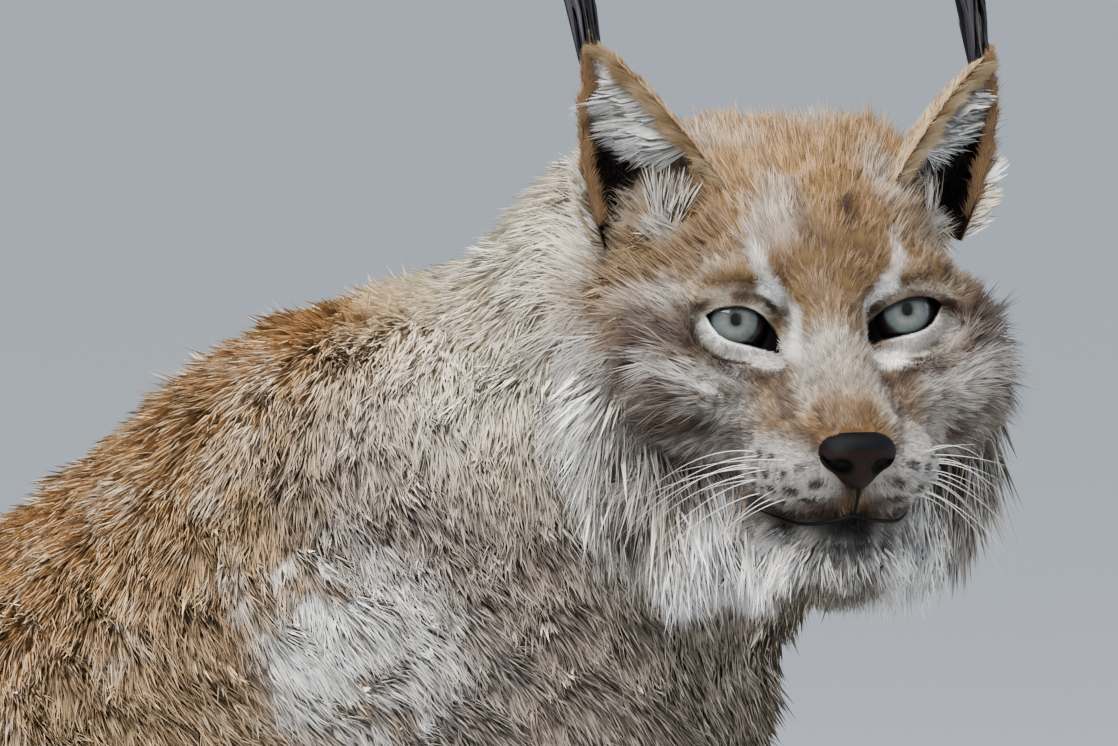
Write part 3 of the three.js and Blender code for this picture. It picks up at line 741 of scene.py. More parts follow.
# %% [markdown]
# ## The colour of the head
# Over a tan ground the crown turns golden, the nape cream, the cheeks and the bridge of the
# nose grey, and the ruff and the chin white. Two scales of random value break up each change.

# %% Colour of the head
SPECK_WAVES, SPECK_SEED = 0.006, 5
FACE_SPOTS = [
    (GREY_BUFF, (0, -38, -20), (36, 34, 27), 0.85),
    (ORANGE_TAN, (4, -58, -33), (22, 20, 14), 0.6),
    (PAD_GREY, PAD_PLACE, PAD_RADII, 0.85),
    (BROWN, (66, -12, -3), (17, 28, 24), 0.95),
    (GREY_WHITE, (60, 27, 33), (15, 15, 9), 0.8),
]
RUFF_SPOTS = [
    (WHITE, (93, 40, -30), (22, 30, 64), 0.8),
    (WHITE, (44, 4, -84), (22, 34, 34), 0.95),
    # painted shadow in the gap where the ruff hangs from under the cheek
    (DARK, (71, 22, -70), (9, 20, 24), 0.6),
    # middle of the beard under the chin: its own buff, darkened further as painted shade under the jaw
    (BEARD_BUFF_AND_SHADE, (0, -20, -104), (34, 60, 30), 1.0),
]


def with_spots(q, colour, spots):
    for tone, place, radii, amount in spots:
        colour = paint(colour, tone, spot(q, mm(*place), mm(*radii)) * amount)
    return colour


def face_colour(q, noise, fine):
    """The head's colour at mirrored places q of its frame."""
    x, y, z = q.T
    colour = np.tile(TAN, (len(q), 1))
    golden = ramp(z, 0.028, 0.060) * ramp(-np.abs(x), -0.060, -0.020)
    colour = paint(colour, ORANGE_TAN, golden * (0.85 + 0.3 * noise))
    colour = paint(colour, NAPE_CREAM, ramp(y, 0.045, 0.075) * ramp(-z, -0.045, -0.015) * 0.8)
    # round the eyes the fur's own pale buff, painted lighter still as painted light against the shade
    # of the sockets
    colour = paint(colour, LID_BUFF_AND_PAINTED_LIGHT, spot(q, mm(39, -20, 1), mm(25, 30, 18)) * 0.85)
    cheek = ramp(x, 0.026, 0.042) * ramp(-z, 0.004, 0.018)
    colour = paint(colour, GREY_WHITE, cheek * (0.8 + 0.25 * noise))
    colour = with_spots(q, colour, FACE_SPOTS)
    colour = paint(colour, WHITE, ramp(-z, 0.070, 0.086) * 0.9)
    colour = with_spots(q, colour, RUFF_SPOTS)
    mottle = ramp(0.6 * noise + 0.6 * fine, 0.0, 0.9) * ramp(-y - z * 0.3, -0.05, 0.02)
    mottle = mottle * (1 - whisker_pads(q))
    colour = paint(colour, BROWN, mottle * ramp(z, -0.09, -0.04) * 0.6)
    colour = paint(colour, WHITE, ramp(-noise, 0.2, 1.0) * 0.15)
    colour = face_lines(q, fine, colour)
    colour = paint(colour, BLACK, spot(q, mm(0, -54, -79), mm(15, 12, 8)) * 0.85)
    specks = ramp(waves(q, SPECK_WAVES, SPECK_SEED)[0], 1.1, 1.5)
    specks = specks * spot(q, mm(8, -50, -28), mm(18, 24, 18))
    return paint(colour, BLACK, specks * 0.8)


calm = np.zeros(1)
print("colour of the crown:", np.round(face_colour(mm((0, 40, 78)), calm, calm)[0], 3))

# %% [markdown]
# ## The colour of the body
# A rufous back, mottled flanks, a cream patch on the right shoulder, a brown-grey neck and a
# pale belly, then faint spots on the legs and a black end to the tail. Head and body fade into
# each other behind the cheeks.

# %% Colour of the body, and of the whole coat
SPOT_WAVES, SPOT_SEED = 0.055, 9
NOISE_WAVES, NOISE_SEED = 0.050, 3
FINE_WAVES, FINE_SEED = 0.014, 4


def body_colour(p, parts, noise, fine):
    """The body's colour at places p."""
    share = shares(parts)
    x, y, z = p.T
    colour = np.tile(RUFOUS, (len(p), 1))
    low = ramp(np.abs(x), 0.075, 0.125)
    colour = paint(colour, FLANK, low * 0.8)
    mottle = 0.6 * noise + 0.5 * fine
    colour = paint(colour, BROWN, ramp(mottle, 0.1, 0.9) * 0.35)
    colour = paint(colour, CREAM, ramp(-mottle, 0.0, 0.9) * (0.25 + 0.30 * low))
    neck = ramp(-y, -0.225, -0.155)
    high = ramp(z, 0.530, 0.590)
    colour = paint(colour, NECK_BROWN, neck * ramp(z, 0.34, 0.44) * (1 - high) * 0.85)
    colour = paint(colour, NECK_BROWN, spot(p, mm(-95, 188, 556), mm(60, 56, 50)) * 0.6)
    colour = paint(colour, NAPE_CREAM, neck * high * 0.85)
    streaks = 0.70 + 0.35 * noise - 0.45 * fine
    colour = paint(colour, CREAM, spot(p, mm(-118, 194, 482), mm(60, 54, 62)) * streaks)
    # grey buff on the chest under the head: partly its own colour, partly painted shade under the head
    # and ruff
    chest = ramp(-y, -0.130, -0.070) * ramp(-z, -0.56, -0.50)
    colour = paint(colour, GREY_BUFF, chest * 0.8)
    belly = ramp(-np.abs(x), -0.085, -0.045) * ramp(-z, -0.34, -0.25) * ramp(-y, -0.40, -0.30)
    colour = paint(colour, CREAM, belly * 0.8)
    leg_share = share["legs"] * ramp(-z, -0.36, -0.28) + share["paws"]
    colour = paint(colour, TAN, leg_share * 0.6)
    leg_spots = ramp(waves(p, SPOT_WAVES, SPOT_SEED)[0], 0.8, 1.3)
    leg_spots = leg_spots * (share["legs"] + share["paws"])
    colour = paint(colour, BROWN, leg_spots * 0.6)
    colour = paint(colour, BLACK, share["tail"] * ramp(x, 0.070, 0.088) * 0.97)
    return colour


def coat_colour(p, parts):
    noise = waves(p, NOISE_WAVES, NOISE_SEED)[0]
    fine = waves(p, FINE_WAVES, FINE_SEED)[0]
    colour = body_colour(p, parts, noise, fine)
    q = to_head(p)
    on_head = ramp((q - HEAD_END) @ HEAD_END_NORMAL, -0.020, 0.016)
    on_head = on_head * ramp(q[:, 2], -0.150, -0.120)
    return paint(colour, face_colour(mirrored(q), noise, fine), on_head)


chest_at = mm((-60, 100, 470))
print("colour of the chest:", np.round(coat_colour(chest_at, parts_of(chest_at))[0], 3))

# %% [markdown]
# ## The skin as an object
# The skin shows only where the coat parts, so it takes the coat's colour, darkened as painted
# shade of the bottom of dense hair, less so on pale coat, and lightened round the eyes as painted
# light against the shade of the sockets. The lids get their bare dark rims. Its unwrap also gives
# each tuft the place of its root.

# %% The skin
sheets += [(from_head(head_points), head_faces), (body_points, body_faces)]
starts = np.cumsum([0] + [len(at) for at, faces in sheets])
points = np.concatenate([at for at, faces in sheets])
quads = np.concatenate([faces + start for (at, faces), start in zip(sheets, starts)])
used, quads = np.unique(quads, return_inverse=True)
quads = quads.reshape(-1, 4)
points = points[used]
ROOT_SHADE = 0.80
RIM_TONE = linear("#070606")


def rim_of_lids(q):
    """1 on the bare dark rims of the lids and in their inner corners, and 0 beyond them."""
    rim = np.zeros(len(q))
    for side, sign in SIDES.items():
        own = q * [sign, 1, 1]
        close = 1 - ramp(np.linalg.norm(own - eye_middle(side), axis=1), 0.026, 0.029)
        rim = np.maximum(rim, (1 - ramp(opening(own, side), 0.0002, 0.0009)) * close)
    return rim


skin_parts = parts_of(points)
skin_colours = coat_colour(points, skin_parts)
# painted shade and light: the skin is darkened as the bottom of dense hair lies in shade, less on pale
# coat, and lightened round the eyes against the shade of the sockets
painted_lightening = 0.25 * ramp(skin_colours.mean(axis=1), 0.2, 0.6)
painted_lightening = painted_lightening + 0.3 * near_eye(to_head(points), LID_REACH)
skin_colours = skin_colours * (ROOT_SHADE + painted_lightening[:, None])
skin_colours = paint(skin_colours, RIM_TONE, rim_of_lids(to_head(points)))
FLESH = ["head", "neck", "chest", "loin", "tail", "tail_tip"]
FLESH += [f"{part}_{side}" for side in SIDES for part in
          ("forepaw", "hind_foot", "foreleg", "hind_leg")]
skin = make_object("skin", points, quads, skin_under_hair, FLESH, colours=skin_colours)

bpy.context.view_layer.objects.active = skin
skin.select_set(True)
bpy.ops.object.mode_set(mode="EDIT")
bpy.ops.mesh.select_all(action="SELECT")
bpy.ops.uv.smart_project(angle_limit=math.radians(72), island_margin=0.001)
bpy.ops.object.mode_set(mode="OBJECT")

loop_uvs = np.zeros(quads.size * 2, dtype=np.float32)
skin.data.uv_layers["OFBake"].uv.foreach_get("vector", loop_uvs)
quad_uvs = loop_uvs.reshape(-1, 4, 2).astype(np.float64)
vertex_normals = np.zeros(len(points) * 3, dtype=np.float32)
skin.data.vertices.foreach_get("normal", vertex_normals)
vertex_normals = vertex_normals.reshape(-1, 3).astype(np.float64)
corners = points[quads]
quad_areas = 0.5 * np.linalg.norm(
    np.cross(corners[:, 2] - corners[:, 0], corners[:, 3] - corners[:, 1]), axis=1)
quad_middles = corners.mean(axis=1)
print("skin area in square metres:", round(quad_areas.sum(), 3))

# %% [markdown]
# ## The lie of the coat
# On the face the hair streams away from the nose, back over the brow and the cheeks. Down the
# body it follows a few known directions, each counting most near its own place, so that it
# turns smoothly from one to the next, as whorls and partings do on a real coat.

# %% Directions of the hair
def both_sides(*rows):
    """Places and directions of the left side, each followed by its match on the right."""
    return [(side_of(sign, place), side_of(sign, direction))
            for place, direction in rows for sign in SIDES.values()]


LIE = [
    ((-30, 120, 650), (0.1, 0.8, -0.5)),
    ((-110, 125, 590), (0.0, 0.05, -1.0)),
    ((70, 110, 560), (0.3, 0.6, -0.7)),
    ((-40, 30, 500), (0.0, 0.1, -1.0)),
    ((30, 190, 612), (0.5, 0.2, -0.6)),
    ((-30, 190, 612), (-0.5, -0.1, -0.6)),
    ((35, 320, 500), (0.5, 0.2, -0.7)),
    ((-35, 320, 500), (-0.5, -0.1, -0.7)),
    ((0, 500, 300), (0.0, 0.45, -0.9)),
    ((0, 540, 160), (0.0, 0.5, -0.8)),
    *both_sides(
        ((60, 200, 590), (0.4, 0.0, -0.8)),
        ((60, 280, 550), (0.3, 0.15, -0.9)),
        ((105, 152, 562), (0.0, -0.6, -0.7)),
        ((115, 170, 480), (0.0, -0.9, -0.35)),
        ((100, 300, 450), (0.2, -0.6, -0.7)),
        ((125, 250, 430), (0.0, -0.85, -0.45))),
    ((-100, 100, 500), (0.0, -0.35, -0.9)),
    ((0, 60, 420), (0.0, -0.15, -1.0)),
    *both_sides(
        ((75, 100, 250), (0.0, 0.05, -1.0)),
        ((66, 40, 35), (0.0, -0.9, -0.4)),
        ((150, 340, 200), (0.0, -0.2, -0.95)),
        ((114, 210, 40), (0.0, -0.95, -0.3))),
    ((0, 280, 250), (0.0, 0.2, -1.0)),
    ((22, 560, 60), (0.35, 0.85, -0.3)),
    ((70, 606, 50), (0.9, 0.2, 0.0)),
    ((125, 604, 40), (1.0, 0.0, 0.0)),
]
LIE_REACH = 0.035


def lie_of_coat(p, normals):
    """Unit directions along the surface that the hair at p points to."""
    heading = np.zeros_like(p)
    whole = np.full(len(p), 1e-12)
    for place, direction in LIE:
        away = np.linalg.norm(p - mm(*place), axis=1)
        weight = np.exp(-away / LIE_REACH)
        heading += weight[:, None] * unit(np.array(direction))
        whole += weight
    heading = unit(heading / whole[:, None])
    q = to_head(p)
    radial = unit(q - NOSE_TIP)
    ruff = ramp(np.abs(q[:, 0]), 0.050, 0.085) * ramp(-q[:, 2], -0.02, 0.03)
    ruff = np.maximum(ruff, ramp(-q[:, 2], 0.075, 0.100))
    hang = unit(np.sign(q[:, 0:1]) * [0.12, 0, 0] + [0, 0.35, -0.95])
    radial = unit(radial * (1 - ruff[:, None]) + hang * ruff[:, None])
    for side, sign in SIDES.items():
        eye = eye_middle(side, sign) - [0, EYE_RADIUS, 0]
        near = 1 - ramp(np.linalg.norm(q - eye, axis=1), 0.016, 0.030)
        radial = unit(radial * (1 - near[:, None]) + unit(q - eye) * near[:, None])
    on_head = ramp((q - HEAD_END) @ HEAD_END_NORMAL, -0.015, 0.015)[:, None]
    heading = unit(heading * (1 - on_head) + turned(radial) * on_head)
    heading -= (heading * normals).sum(1, keepdims=True) * normals
    return unit(heading)


print("directions known at", len(LIE), "places")

# %% [markdown]
# ## Tufts
# A single hair is too fine to see from here: what shows is the tuft, some tens of hairs that
# dry and lie together. Each starts in the skin, rises, lies over along the coat and ends in a
# point, painted darker towards its root as painted shade. Most are flat kites, and where the coat
# is short they are thin three-sided spikes. Hair lets light through and a mesh doesn't, so the
# faces that look down have points of their own, painted lighter as painted light that stands in
# for the light let through, and their shine is bent to the side they face.

# %% Growing tufts
UV_PATCH = 0.003
ROOT_SINK, SINK_SHARE = 0.0015, 0.14
FLATNESS, ARCH_FALL = 0.38, 0.42
PAINTED_THROUGH_LIGHT, BRIGHTEST = 1.6, 0.9
LEAST_FACING = 0.3
FLOOR_CLEARANCE = 0.0004


def pick_roots(count, weight):
    """Random places on the skin, spread by area times a weight for each quad."""
    chance = quad_areas * weight
    chosen = rng.choice(len(quads), size=count, p=chance / chance.sum())
    u, v = rng.random((2, count, 1))
    share = np.stack([(1 - u) * (1 - v), u * (1 - v), u * v, (1 - u) * v], axis=1)
    root = (points[quads[chosen]] * share).sum(axis=1)
    normal = unit((vertex_normals[quads[chosen]] * share).sum(axis=1))
    uv = (quad_uvs[chosen] * share).sum(axis=1)
    order = np.argsort(root @ np.array([0.2, 1.0, -0.5]))
    return root[order], normal[order], uv[order]


def blade(root, normal, heading, length, width, lift, shift, tones, uv, waist=0.5):
    """Points, triangles, unwrap, colours and normals of tapered blades.

    With a waist, as a share of the length, a blade is an arched kite, closed by two faces below.
    With a waist of 0 it is a three-sided spike that is widest in the skin. The faces below have
    points of their own, so that light meets them from their side, and their colour is painted
    lighter as painted light for the light that passes through hair.
    """
    count = len(root)
    roll = rng.uniform(-0.9, 0.9, count)[:, None]
    across = np.cross(normal, heading)
    side = across * np.cos(roll) + normal * np.sin(roll)
    rise = (normal * np.cos(roll) - across * np.sin(roll)) * FLATNESS
    forward, upward = heading * np.cos(lift)[:, None], normal * np.sin(lift)[:, None]
    nothing = np.zeros_like(side)
    sink = np.minimum(ROOT_SINK, SINK_SHARE * length)[:, None]
    if waist > 0:
        stations = [(0.0, nothing), (waist, side), (waist, -side), (1.0, nothing)]
        sides = [[0, 2, 1], [1, 2, 3], [4, 5, 7], [4, 7, 6]]
    else:
        turns = [math.pi * (0.5 + 2 * corner / 3) for corner in range(3)]
        stations = [(0.0, side * math.cos(turn) + rise * math.sin(turn)) for turn in turns]
        stations.append((1.0, nothing))
        sides = [[0, 1, 3], [2, 0, 3], [5, 6, 7]]
    places, uvs, colours, normals = [], [], [], []
    for number, (s, offset) in enumerate(stations):
        reach = length[:, None] * s * (forward + upward * (1 - ARCH_FALL * s))
        middle = root - normal * sink * (1 - s) + reach + shift * s * s
        places.append(middle + offset * 0.5 * width[:, None])
        uvs.append(uv + UV_PATCH * np.array([number / 3 - 0.5, s - 0.5]))
        colours.append(tones(s))
        normals.append(unit(normal + 0.25 * s * heading + 0.5 * offset))
    for number, (s, offset) in enumerate(stations):
        for rows in (places, uvs):
            rows.append(rows[number])
        # painted light: the faces below are painted lighter, standing in for light that passes through
        # hair
        colours.append(np.minimum(colours[number] * PAINTED_THROUGH_LIGHT, BRIGHTEST))
        normals.append(unit(-normal + 0.25 * s * heading + 0.5 * offset))
    at, shine = np.stack(places, axis=1), np.stack(normals, axis=1)
    for points_of_half in ([0, 1, 2, 3], [4, 5, 6, 7]):
        own = [at[:, face] for face in sides if face[0] in points_of_half]
        facing = unit(sum(np.cross(f[:, 1] - f[:, 0], f[:, 2] - f[:, 0]) for f in own))[:, None]
        agreement = (shine[:, points_of_half] * facing).sum(2, keepdims=True)
        short = np.maximum(LEAST_FACING - agreement, 0)
        shine[:, points_of_half] = unit(shine[:, points_of_half] + short * facing)
    faces = np.arange(count)[:, None, None] * len(places) + np.array(sides)[None]
    flat = [rows.reshape(count * len(places), -1)
            for rows in (at, np.stack(uvs, axis=1), np.stack(colours, axis=1), shine)]
    flat[0][:, 2] = np.maximum(flat[0][:, 2], FLOOR_CLEARANCE)
    return flat[0], faces.reshape(-1, 3), np.clip(flat[1], 0.001, 0.999), flat[2], flat[3]


print("a tuft's thickness is", FLATNESS, "of its width")

# %% [markdown]
# ## Pieces of coat
# All tufts of one part of the body go into one mesh, because an object for each would be slow.
# A mesh with too many triangles is slow to edit as well, so a large coat is cut into a few.


# %% Coats as objects
MOST_TRIANGLES = 195000
BLADE_POINTS = 8
coat_triangles = 0


def add_coat(name, arrays):
    """One or more objects, each under the most triangles that a piece may have."""
    global coat_triangles
    at, faces, uvs, tones, normals = arrays
    blades = len(at) // BLADE_POINTS
    sides = len(faces) // blades
    pieces = math.ceil(len(faces) / MOST_TRIANGLES)
    for number, part in enumerate(np.array_split(np.arange(blades), pieces)):
        first, last = part[0], part[-1] + 1
        keep = slice(first * BLADE_POINTS, last * BLADE_POINTS)
        chosen = faces[first * sides:last * sides] - first * BLADE_POINTS
        label = name if pieces == 1 else f"{name}_{number + 1}"
        piece = make_object(label, at[keep], chosen, hair, (), uvs[keep], tones[keep], normals[keep])
    coat_triangles += len(faces)
    print(f"{name}: {blades} tufts, {len(faces)} triangles, {pieces} pieces")


print("most triangles in a piece of coat:", MOST_TRIANGLES)

# %% [markdown]
# ## The coat of the body
# Length follows the depth that the coat has there, so that tips end where the outline is.
# Two sizes of clumps bend the tips together, and pale tips over roots darkened as painted shade
# give the flecked look. The side that is seen from near carries more and finer tufts.


# %% Tufts of the body
LENGTH_PER_DEPTH, SHORTEST_HAIR = 1.55, 0.0018
CLUMP, LOCK = 0.007, 0.024
CLUMP_SEED, LOCK_SEED = 21, 22
LIFT = math.radians(42)


def coat_flow(root, normal):
    """Heading, length, lift and facing of the hair, by the lie and the depth of the coat."""
    depth = coat_depth(root, parts_of(root))
    return lie_of_coat(root, normal), depth * LENGTH_PER_DEPTH + SHORTEST_HAIR, LIFT, normal


def grow(name, count, weight, width, fineness=1.0, waist=0.5, flow=coat_flow, pale=0.62,
         gather=1.0):
    """One coat. Pale is the strength of its pale tips, gather how much its locks close up."""
    root, normal, uv = pick_roots(count, weight)
    heading, usual_length, usual_lift, normal = flow(root, normal)
    clump, clump_slope = waves(root, CLUMP * fineness, CLUMP_SEED)
    lock, lock_slope = waves(root, LOCK * fineness, LOCK_SEED)
    heading = heading + 0.18 * lock[:, None] * np.cross(heading, normal)
    heading = unit(heading + rng.normal(scale=0.11, size=root.shape))
    length = usual_length * (1 + 0.10 * clump) * rng.uniform(0.7, 1.15, count)
    lift = usual_lift + rng.normal(scale=0.12, size=count) + 0.08 * clump
    shift = (0.14 * clump_slope + 0.16 * lock_slope) * length[:, None] * gather
    colour = coat_colour(root, parts_of(root))
    luck = rng.random(count) + 0.26 * clump + 0.20 * lock
    ground = colour.mean(axis=1, keepdims=True)
    light = ramp(luck, 0.52, 0.86)[:, None] * ramp(ground, 0.01, 0.15)
    deep = ramp(-luck, -0.42, -0.12)[:, None] * (1 - 0.5 * ramp(ground, 0.3, 0.6))
    tint = 0.4 + 0.6 * colour / colour.max(axis=1, keepdims=True)
    tip_colour = colour * (1 - 0.5 * deep) + (PALE_TIP * tint - colour) * pale * light
    # painted shade: each tuft is darker from its tip down to its root, where the coat shades it
    waist_colour = colour * (0.88 - 0.50 * deep + 0.10 * light)
    shaded_root_colour = colour * (0.56 + 0.34 * ramp(ground, 0.15, 0.6))
    tips = {0.0: shaded_root_colour, waist: waist_colour, 1.0: tip_colour}
    # painted shade: a spike is darker at its root
    if waist == 0:
        tips = {0.0: waist_colour * 0.8, 1.0: tip_colour}
    fine = np.clip(length / 0.010, 0.6, 1) * rng.uniform(0.7, 1.3, count)
    arrays = blade(root, normal, heading, length, width * fine, lift, shift,
                   lambda s: tips[s], uv, waist)
    add_coat(name, arrays)


quad_head = to_head(quad_middles)
on_head = in_head(quad_head)
quad_share = shares(parts_of(quad_middles))
near_side = ramp(-quad_middles[:, 0], -0.07, -0.03) * ramp(quad_middles[:, 2], 0.36, 0.42)
near_side = near_side * ramp(-quad_middles[:, 1], -0.46, -0.40) * ~on_head
paw = quad_share["paws"] * ramp(-quad_middles[:, 2], -0.12, -0.09)
far_side = (1 - near_side) * ~on_head * (1 - paw) * (1 - 0.35 * quad_share["trunk"])
grow("near_coat", 126000, near_side, 0.00088, gather=1.2, pale=0.55)
grow("far_coat", 76000, far_side, 0.0025, 1.4)
grow("paw_coat", 16000, paw * ~on_head, 0.0013, 0.7, 0.0)

# %% [markdown]
# ## The coat of the head
# Short on the nose and round the eyes, longer to the brow and the cheeks. It is so short that
# its tufts are spikes and stand closest on the bridge of the nose and the lids. Nothing grows
# on the lids' dark rims or on the nose leather.

# %% Tufts of the head
folded = mirrored(quad_head)
nose_away = np.linalg.norm((folded - mm(0, -60, -48)) / mm(15, 12, 11), axis=1)
bare = nose_away < 1.0
for side, sign in SIDES.items():
    own = quad_head * [sign, 1, 1]
    ball = np.linalg.norm(own - eye_middle(side), axis=1)
    bare |= ball < EYE_RADIUS + LID_THICKNESS - 0.0003
    bare |= (ball < LID_REACH) & (opening(own, side) < 0.0007) & (own[:, 0] > 0)
front = ramp(-quad_head[:, 1], -0.060, -0.010)
crowded = 1 + 1.5 * (1 - ramp(np.linalg.norm(folded - mm(14, -40, -30), axis=1), 0.03, 0.07))
crowded += 1.5 * near_eye(quad_head, LID_REACH)
head_weight = on_head * ~bare * (0.30 + 0.70 * front) * crowded


def face_flow(root, normal):
    """On the cheeks and the jaw the hair grows longer and lies flatter."""
    heading, length, lift, normal = coat_flow(root, normal)
    q = mirrored(to_head(root))
    cheek = ramp(q[:, 0], 0.044, 0.072) * ramp(-q[:, 2], -0.030, 0.010)
    jaw = ramp(-q[:, 2], 0.072, 0.092)
    more = np.maximum(cheek, jaw)
    length = length - 0.0008 - 0.0010 * whisker_pads(q) + 0.011 * more
    return heading, length, lift - math.radians(20) * more, normal


grow("face_coat", 100000, head_weight, 0.00088, 0.55, 0.0, face_flow, 0.38, 1.8)

# %% [markdown]
# ## Ruff, beard and plumes
# In winter a lynx wears a ruff: long locks that hang from a line below the ear, along the cheek
# and under the jaw. Here that line is a few places, and each lock takes its direction and its
# length from the nearest point of it. The beard hangs from the chin, and a plume stands at the
# foot of each ear. They lie over the short hair, so they are coats of their own.

# %% Locks of the ruff, the beard and the plumes
RUFF_ROOTS = mm((72, 44, 14), (82, 36, -22), (76, 26, -54), (54, 16, -72), (34, 12, -80))
RUFF_FLOW = np.array([(0.2, 0.7, -0.8), (0.0, 0.35, -1), (-0.22, 0.15, -1), (-0.28, 0.05, -1),
                      (-0.1, 0.05, -1)])
RUFF_LENGTH = mm(24, 38, 44, 46, 36)
BEARD_LENGTH, PLUME_LENGTH = 0.018, 0.019
RUFF_LIFT = math.radians(13)


def face_outward(q):
    """The way that the hair under the cheeks and the chin turns its broad side."""
    return unit(q[:, 0:1] / 0.1 * [1, 0, 0] + [0, -0.6, 0.35])


def near_ruff(folded):
    """Distance to the line of the ruff's roots, and how far along it the nearest point is."""
    away = np.full(len(folded), np.inf)
    along = np.zeros(len(folded))
    for number, (start, end) in enumerate(zip(RUFF_ROOTS[:-1], RUFF_ROOTS[1:])):
        axis = end - start
        t = np.clip((folded - start) @ axis / (axis @ axis), 0, 1)
        gap = np.linalg.norm(folded - start - t[:, None] * axis, axis=1)
        along = np.where(gap < away, number + t, along)
        away = np.minimum(away, gap)
    return away, along


def ruff_flow(root, normal):
    """Heading, length, lift and facing of the locks of the ruff."""
    q = to_head(root)
    away, along = near_ruff(mirrored(q))
    number = np.arange(len(RUFF_LENGTH))
    flow = np.stack([np.interp(along, number, RUFF_FLOW[:, i]) for i in range(3)], axis=1)
    flow = unit(flow * (np.sign(q[:, 0:1]) * [1, 0, 0] + [0, 1, 1]))
    length = np.interp(along, number, RUFF_LENGTH) * (1 - 0.5 * away / 0.04)
    return turned(flow), length, RUFF_LIFT, turned(face_outward(q))


def beard_flow(root, normal):
    """The beard hangs from the chin and the jaw and is blown a little to the back."""
    q = to_head(root)
    flow = unit(q[:, 0:1] * 8 * [1, 0, 0] + [0, 0.15, -1])
    length = np.full(len(q), BEARD_LENGTH)
    return turned(flow), length, RUFF_LIFT, turned(face_outward(q))


def plume_flow(root, normal):
    """A plume rises from the foot of the ear across its hollow."""
    q = to_head(root)
    flow = unit(np.sign(q[:, 0:1]) * [-0.25, 0, 0] + [0, 0.1, 1])
    length = np.full(len(q), PLUME_LENGTH)
    return turned(flow), length, RUFF_LIFT, turned(face_outward(q))


ruff_weight = (1 - ramp(near_ruff(folded)[0], 0.018, 0.034)) * on_head
chin = spot(folded, mm(0, -34, -90), mm(30, 30, 15)) * on_head
plume = spot(folded, mm(59, 27, 34), mm(9, 12, 6)) * on_head
grow("ruff_coat", 37000, ruff_weight, 0.00092, 1.1, 0.45, ruff_flow, 0.5, 1.1)
grow("ear_plume", 500, plume, 0.0007, 0.7, 0.45, plume_flow, 0.3, 1.4)
grow("beard_coat", 9000, chin, 0.0008, 0.8, 0.45, beard_flow, 0.25, 1.4)

# %% [markdown]
# ## The eyes
# A lynx has a large round eye with a pale grey-green iris, a dark ring at its edge and a pupil
# that is round and small in daylight. The eyeball is turned to the viewer's side, and the
# iris is painted by the angle from the line of sight, on rings close enough to draw it. Its top
# is painted darker as painted shadow of the upper lid, and its lower part lighter as painted light.

# %% Eyeballs
GAZE = {"left": unit(np.array([-0.168, -0.962, 0.214])),
        "right": unit(np.array([-0.095, -0.974, 0.205]))}
IRIS_ANGLE, PUPIL_ANGLE, PUPIL_OVAL = math.radians(42), math.radians(9), 0.18
IRIS_TONES = [linear(code) for code in ("#3b3f3b", "#565c58", "#485050", "#07090d")]
IRIS_PLACES = [0, 0.25, 0.80, 1.0]
PUPIL_TONE, EYE_RING_TONE = linear("#050507"), linear("#120d0c")
STREAK_WAVES, STREAK_SEED = 0.28, 31
RINGS, SPOKES = 64, 96


def eyeball(side):
    gaze = GAZE[side]
    sideways = unit(np.cross(gaze, [0, 0, 1]))
    upward = np.cross(sideways, gaze)
    angle = (np.linspace(0, 1, RINGS + 1)[1:] ** 1.3) * math.pi * 0.96
    turn = np.arange(SPOKES) * 2 * math.pi / SPOKES
    a, t = (grid.ravel() for grid in np.meshgrid(angle, turn, indexing="ij"))
    around = sideways * np.cos(t)[:, None] + upward * np.sin(t)[:, None]
    at = gaze * np.cos(a)[:, None] + around * np.sin(a)[:, None]
    at = np.concatenate([[gaze], at])
    a = np.concatenate([[0], a])
    t = np.concatenate([[0], t])
    streak = waves(np.stack([np.cos(t), np.sin(t), a * 0.15], 1), STREAK_WAVES, STREAK_SEED)[0]
    round_pupil = PUPIL_ANGLE * (1 + PUPIL_OVAL * np.abs(np.sin(t)))
    place = np.clip((a - round_pupil) / (IRIS_ANGLE - round_pupil), 0, 1)
    colour = np.stack([np.interp(place, IRIS_PLACES, [tone[i] for tone in IRIS_TONES])
                       for i in range(3)], axis=1)
    colour *= (1 + 0.10 * streak)[:, None]
    # painted shadow and light: the iris darkens toward its top, where the upper lid shades it, and is
    # lighter below
    height = np.sin(a) * np.sin(t) / math.sin(IRIS_ANGLE)
    colour *= (1.15 - 0.80 * ramp(height, -0.6, 0.75))[:, None]
    colour = paint(colour, PUPIL_TONE, 1 - ramp(a / round_pupil, 0.85, 1.12))
    colour = paint(colour, EYE_RING_TONE, ramp(a, IRIS_ANGLE * 0.97, IRIS_ANGLE * 1.08))
    eye = eye_middle(side, SIDES[side])
    middle = from_head(eye)
    at = from_head(eye + at * EYE_RADIUS)
    uv = 0.5 + np.stack([np.cos(t), np.sin(t)], 1) * (a / math.pi * 0.48)[:, None]
    ring = np.arange(SPOKES)
    cap = np.stack([np.zeros(SPOKES, int), 1 + (ring + 1) % SPOKES, 1 + ring], 1)
    quads_only = ring_quads(RINGS, SPOKES) + 1
    triangles = np.concatenate([cap, quads_only[:, [0, 1, 2]], quads_only[:, [0, 2, 3]]])
    triangles = outward(at, triangles, lambda p: np.linalg.norm(p - middle, axis=1))
    piece = make_object(f"eyeball_{side}", at, triangles, wet_eye, [f"eye_{side}"], uv, colour)


for side in SIDES:
    eyeball(side)
print("iris across in mm:", round(2000 * EYE_RADIUS * math.sin(IRIS_ANGLE), 1))

# %% [markdown]
# ## The nose leather
# A broad, bare wedge with a pebbled skin, near black on its upper edge and dark brown below,
# with a nostril low on each side that runs back as a comma. The same forms as in the
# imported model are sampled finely, so the pits of the nostrils come out clean.

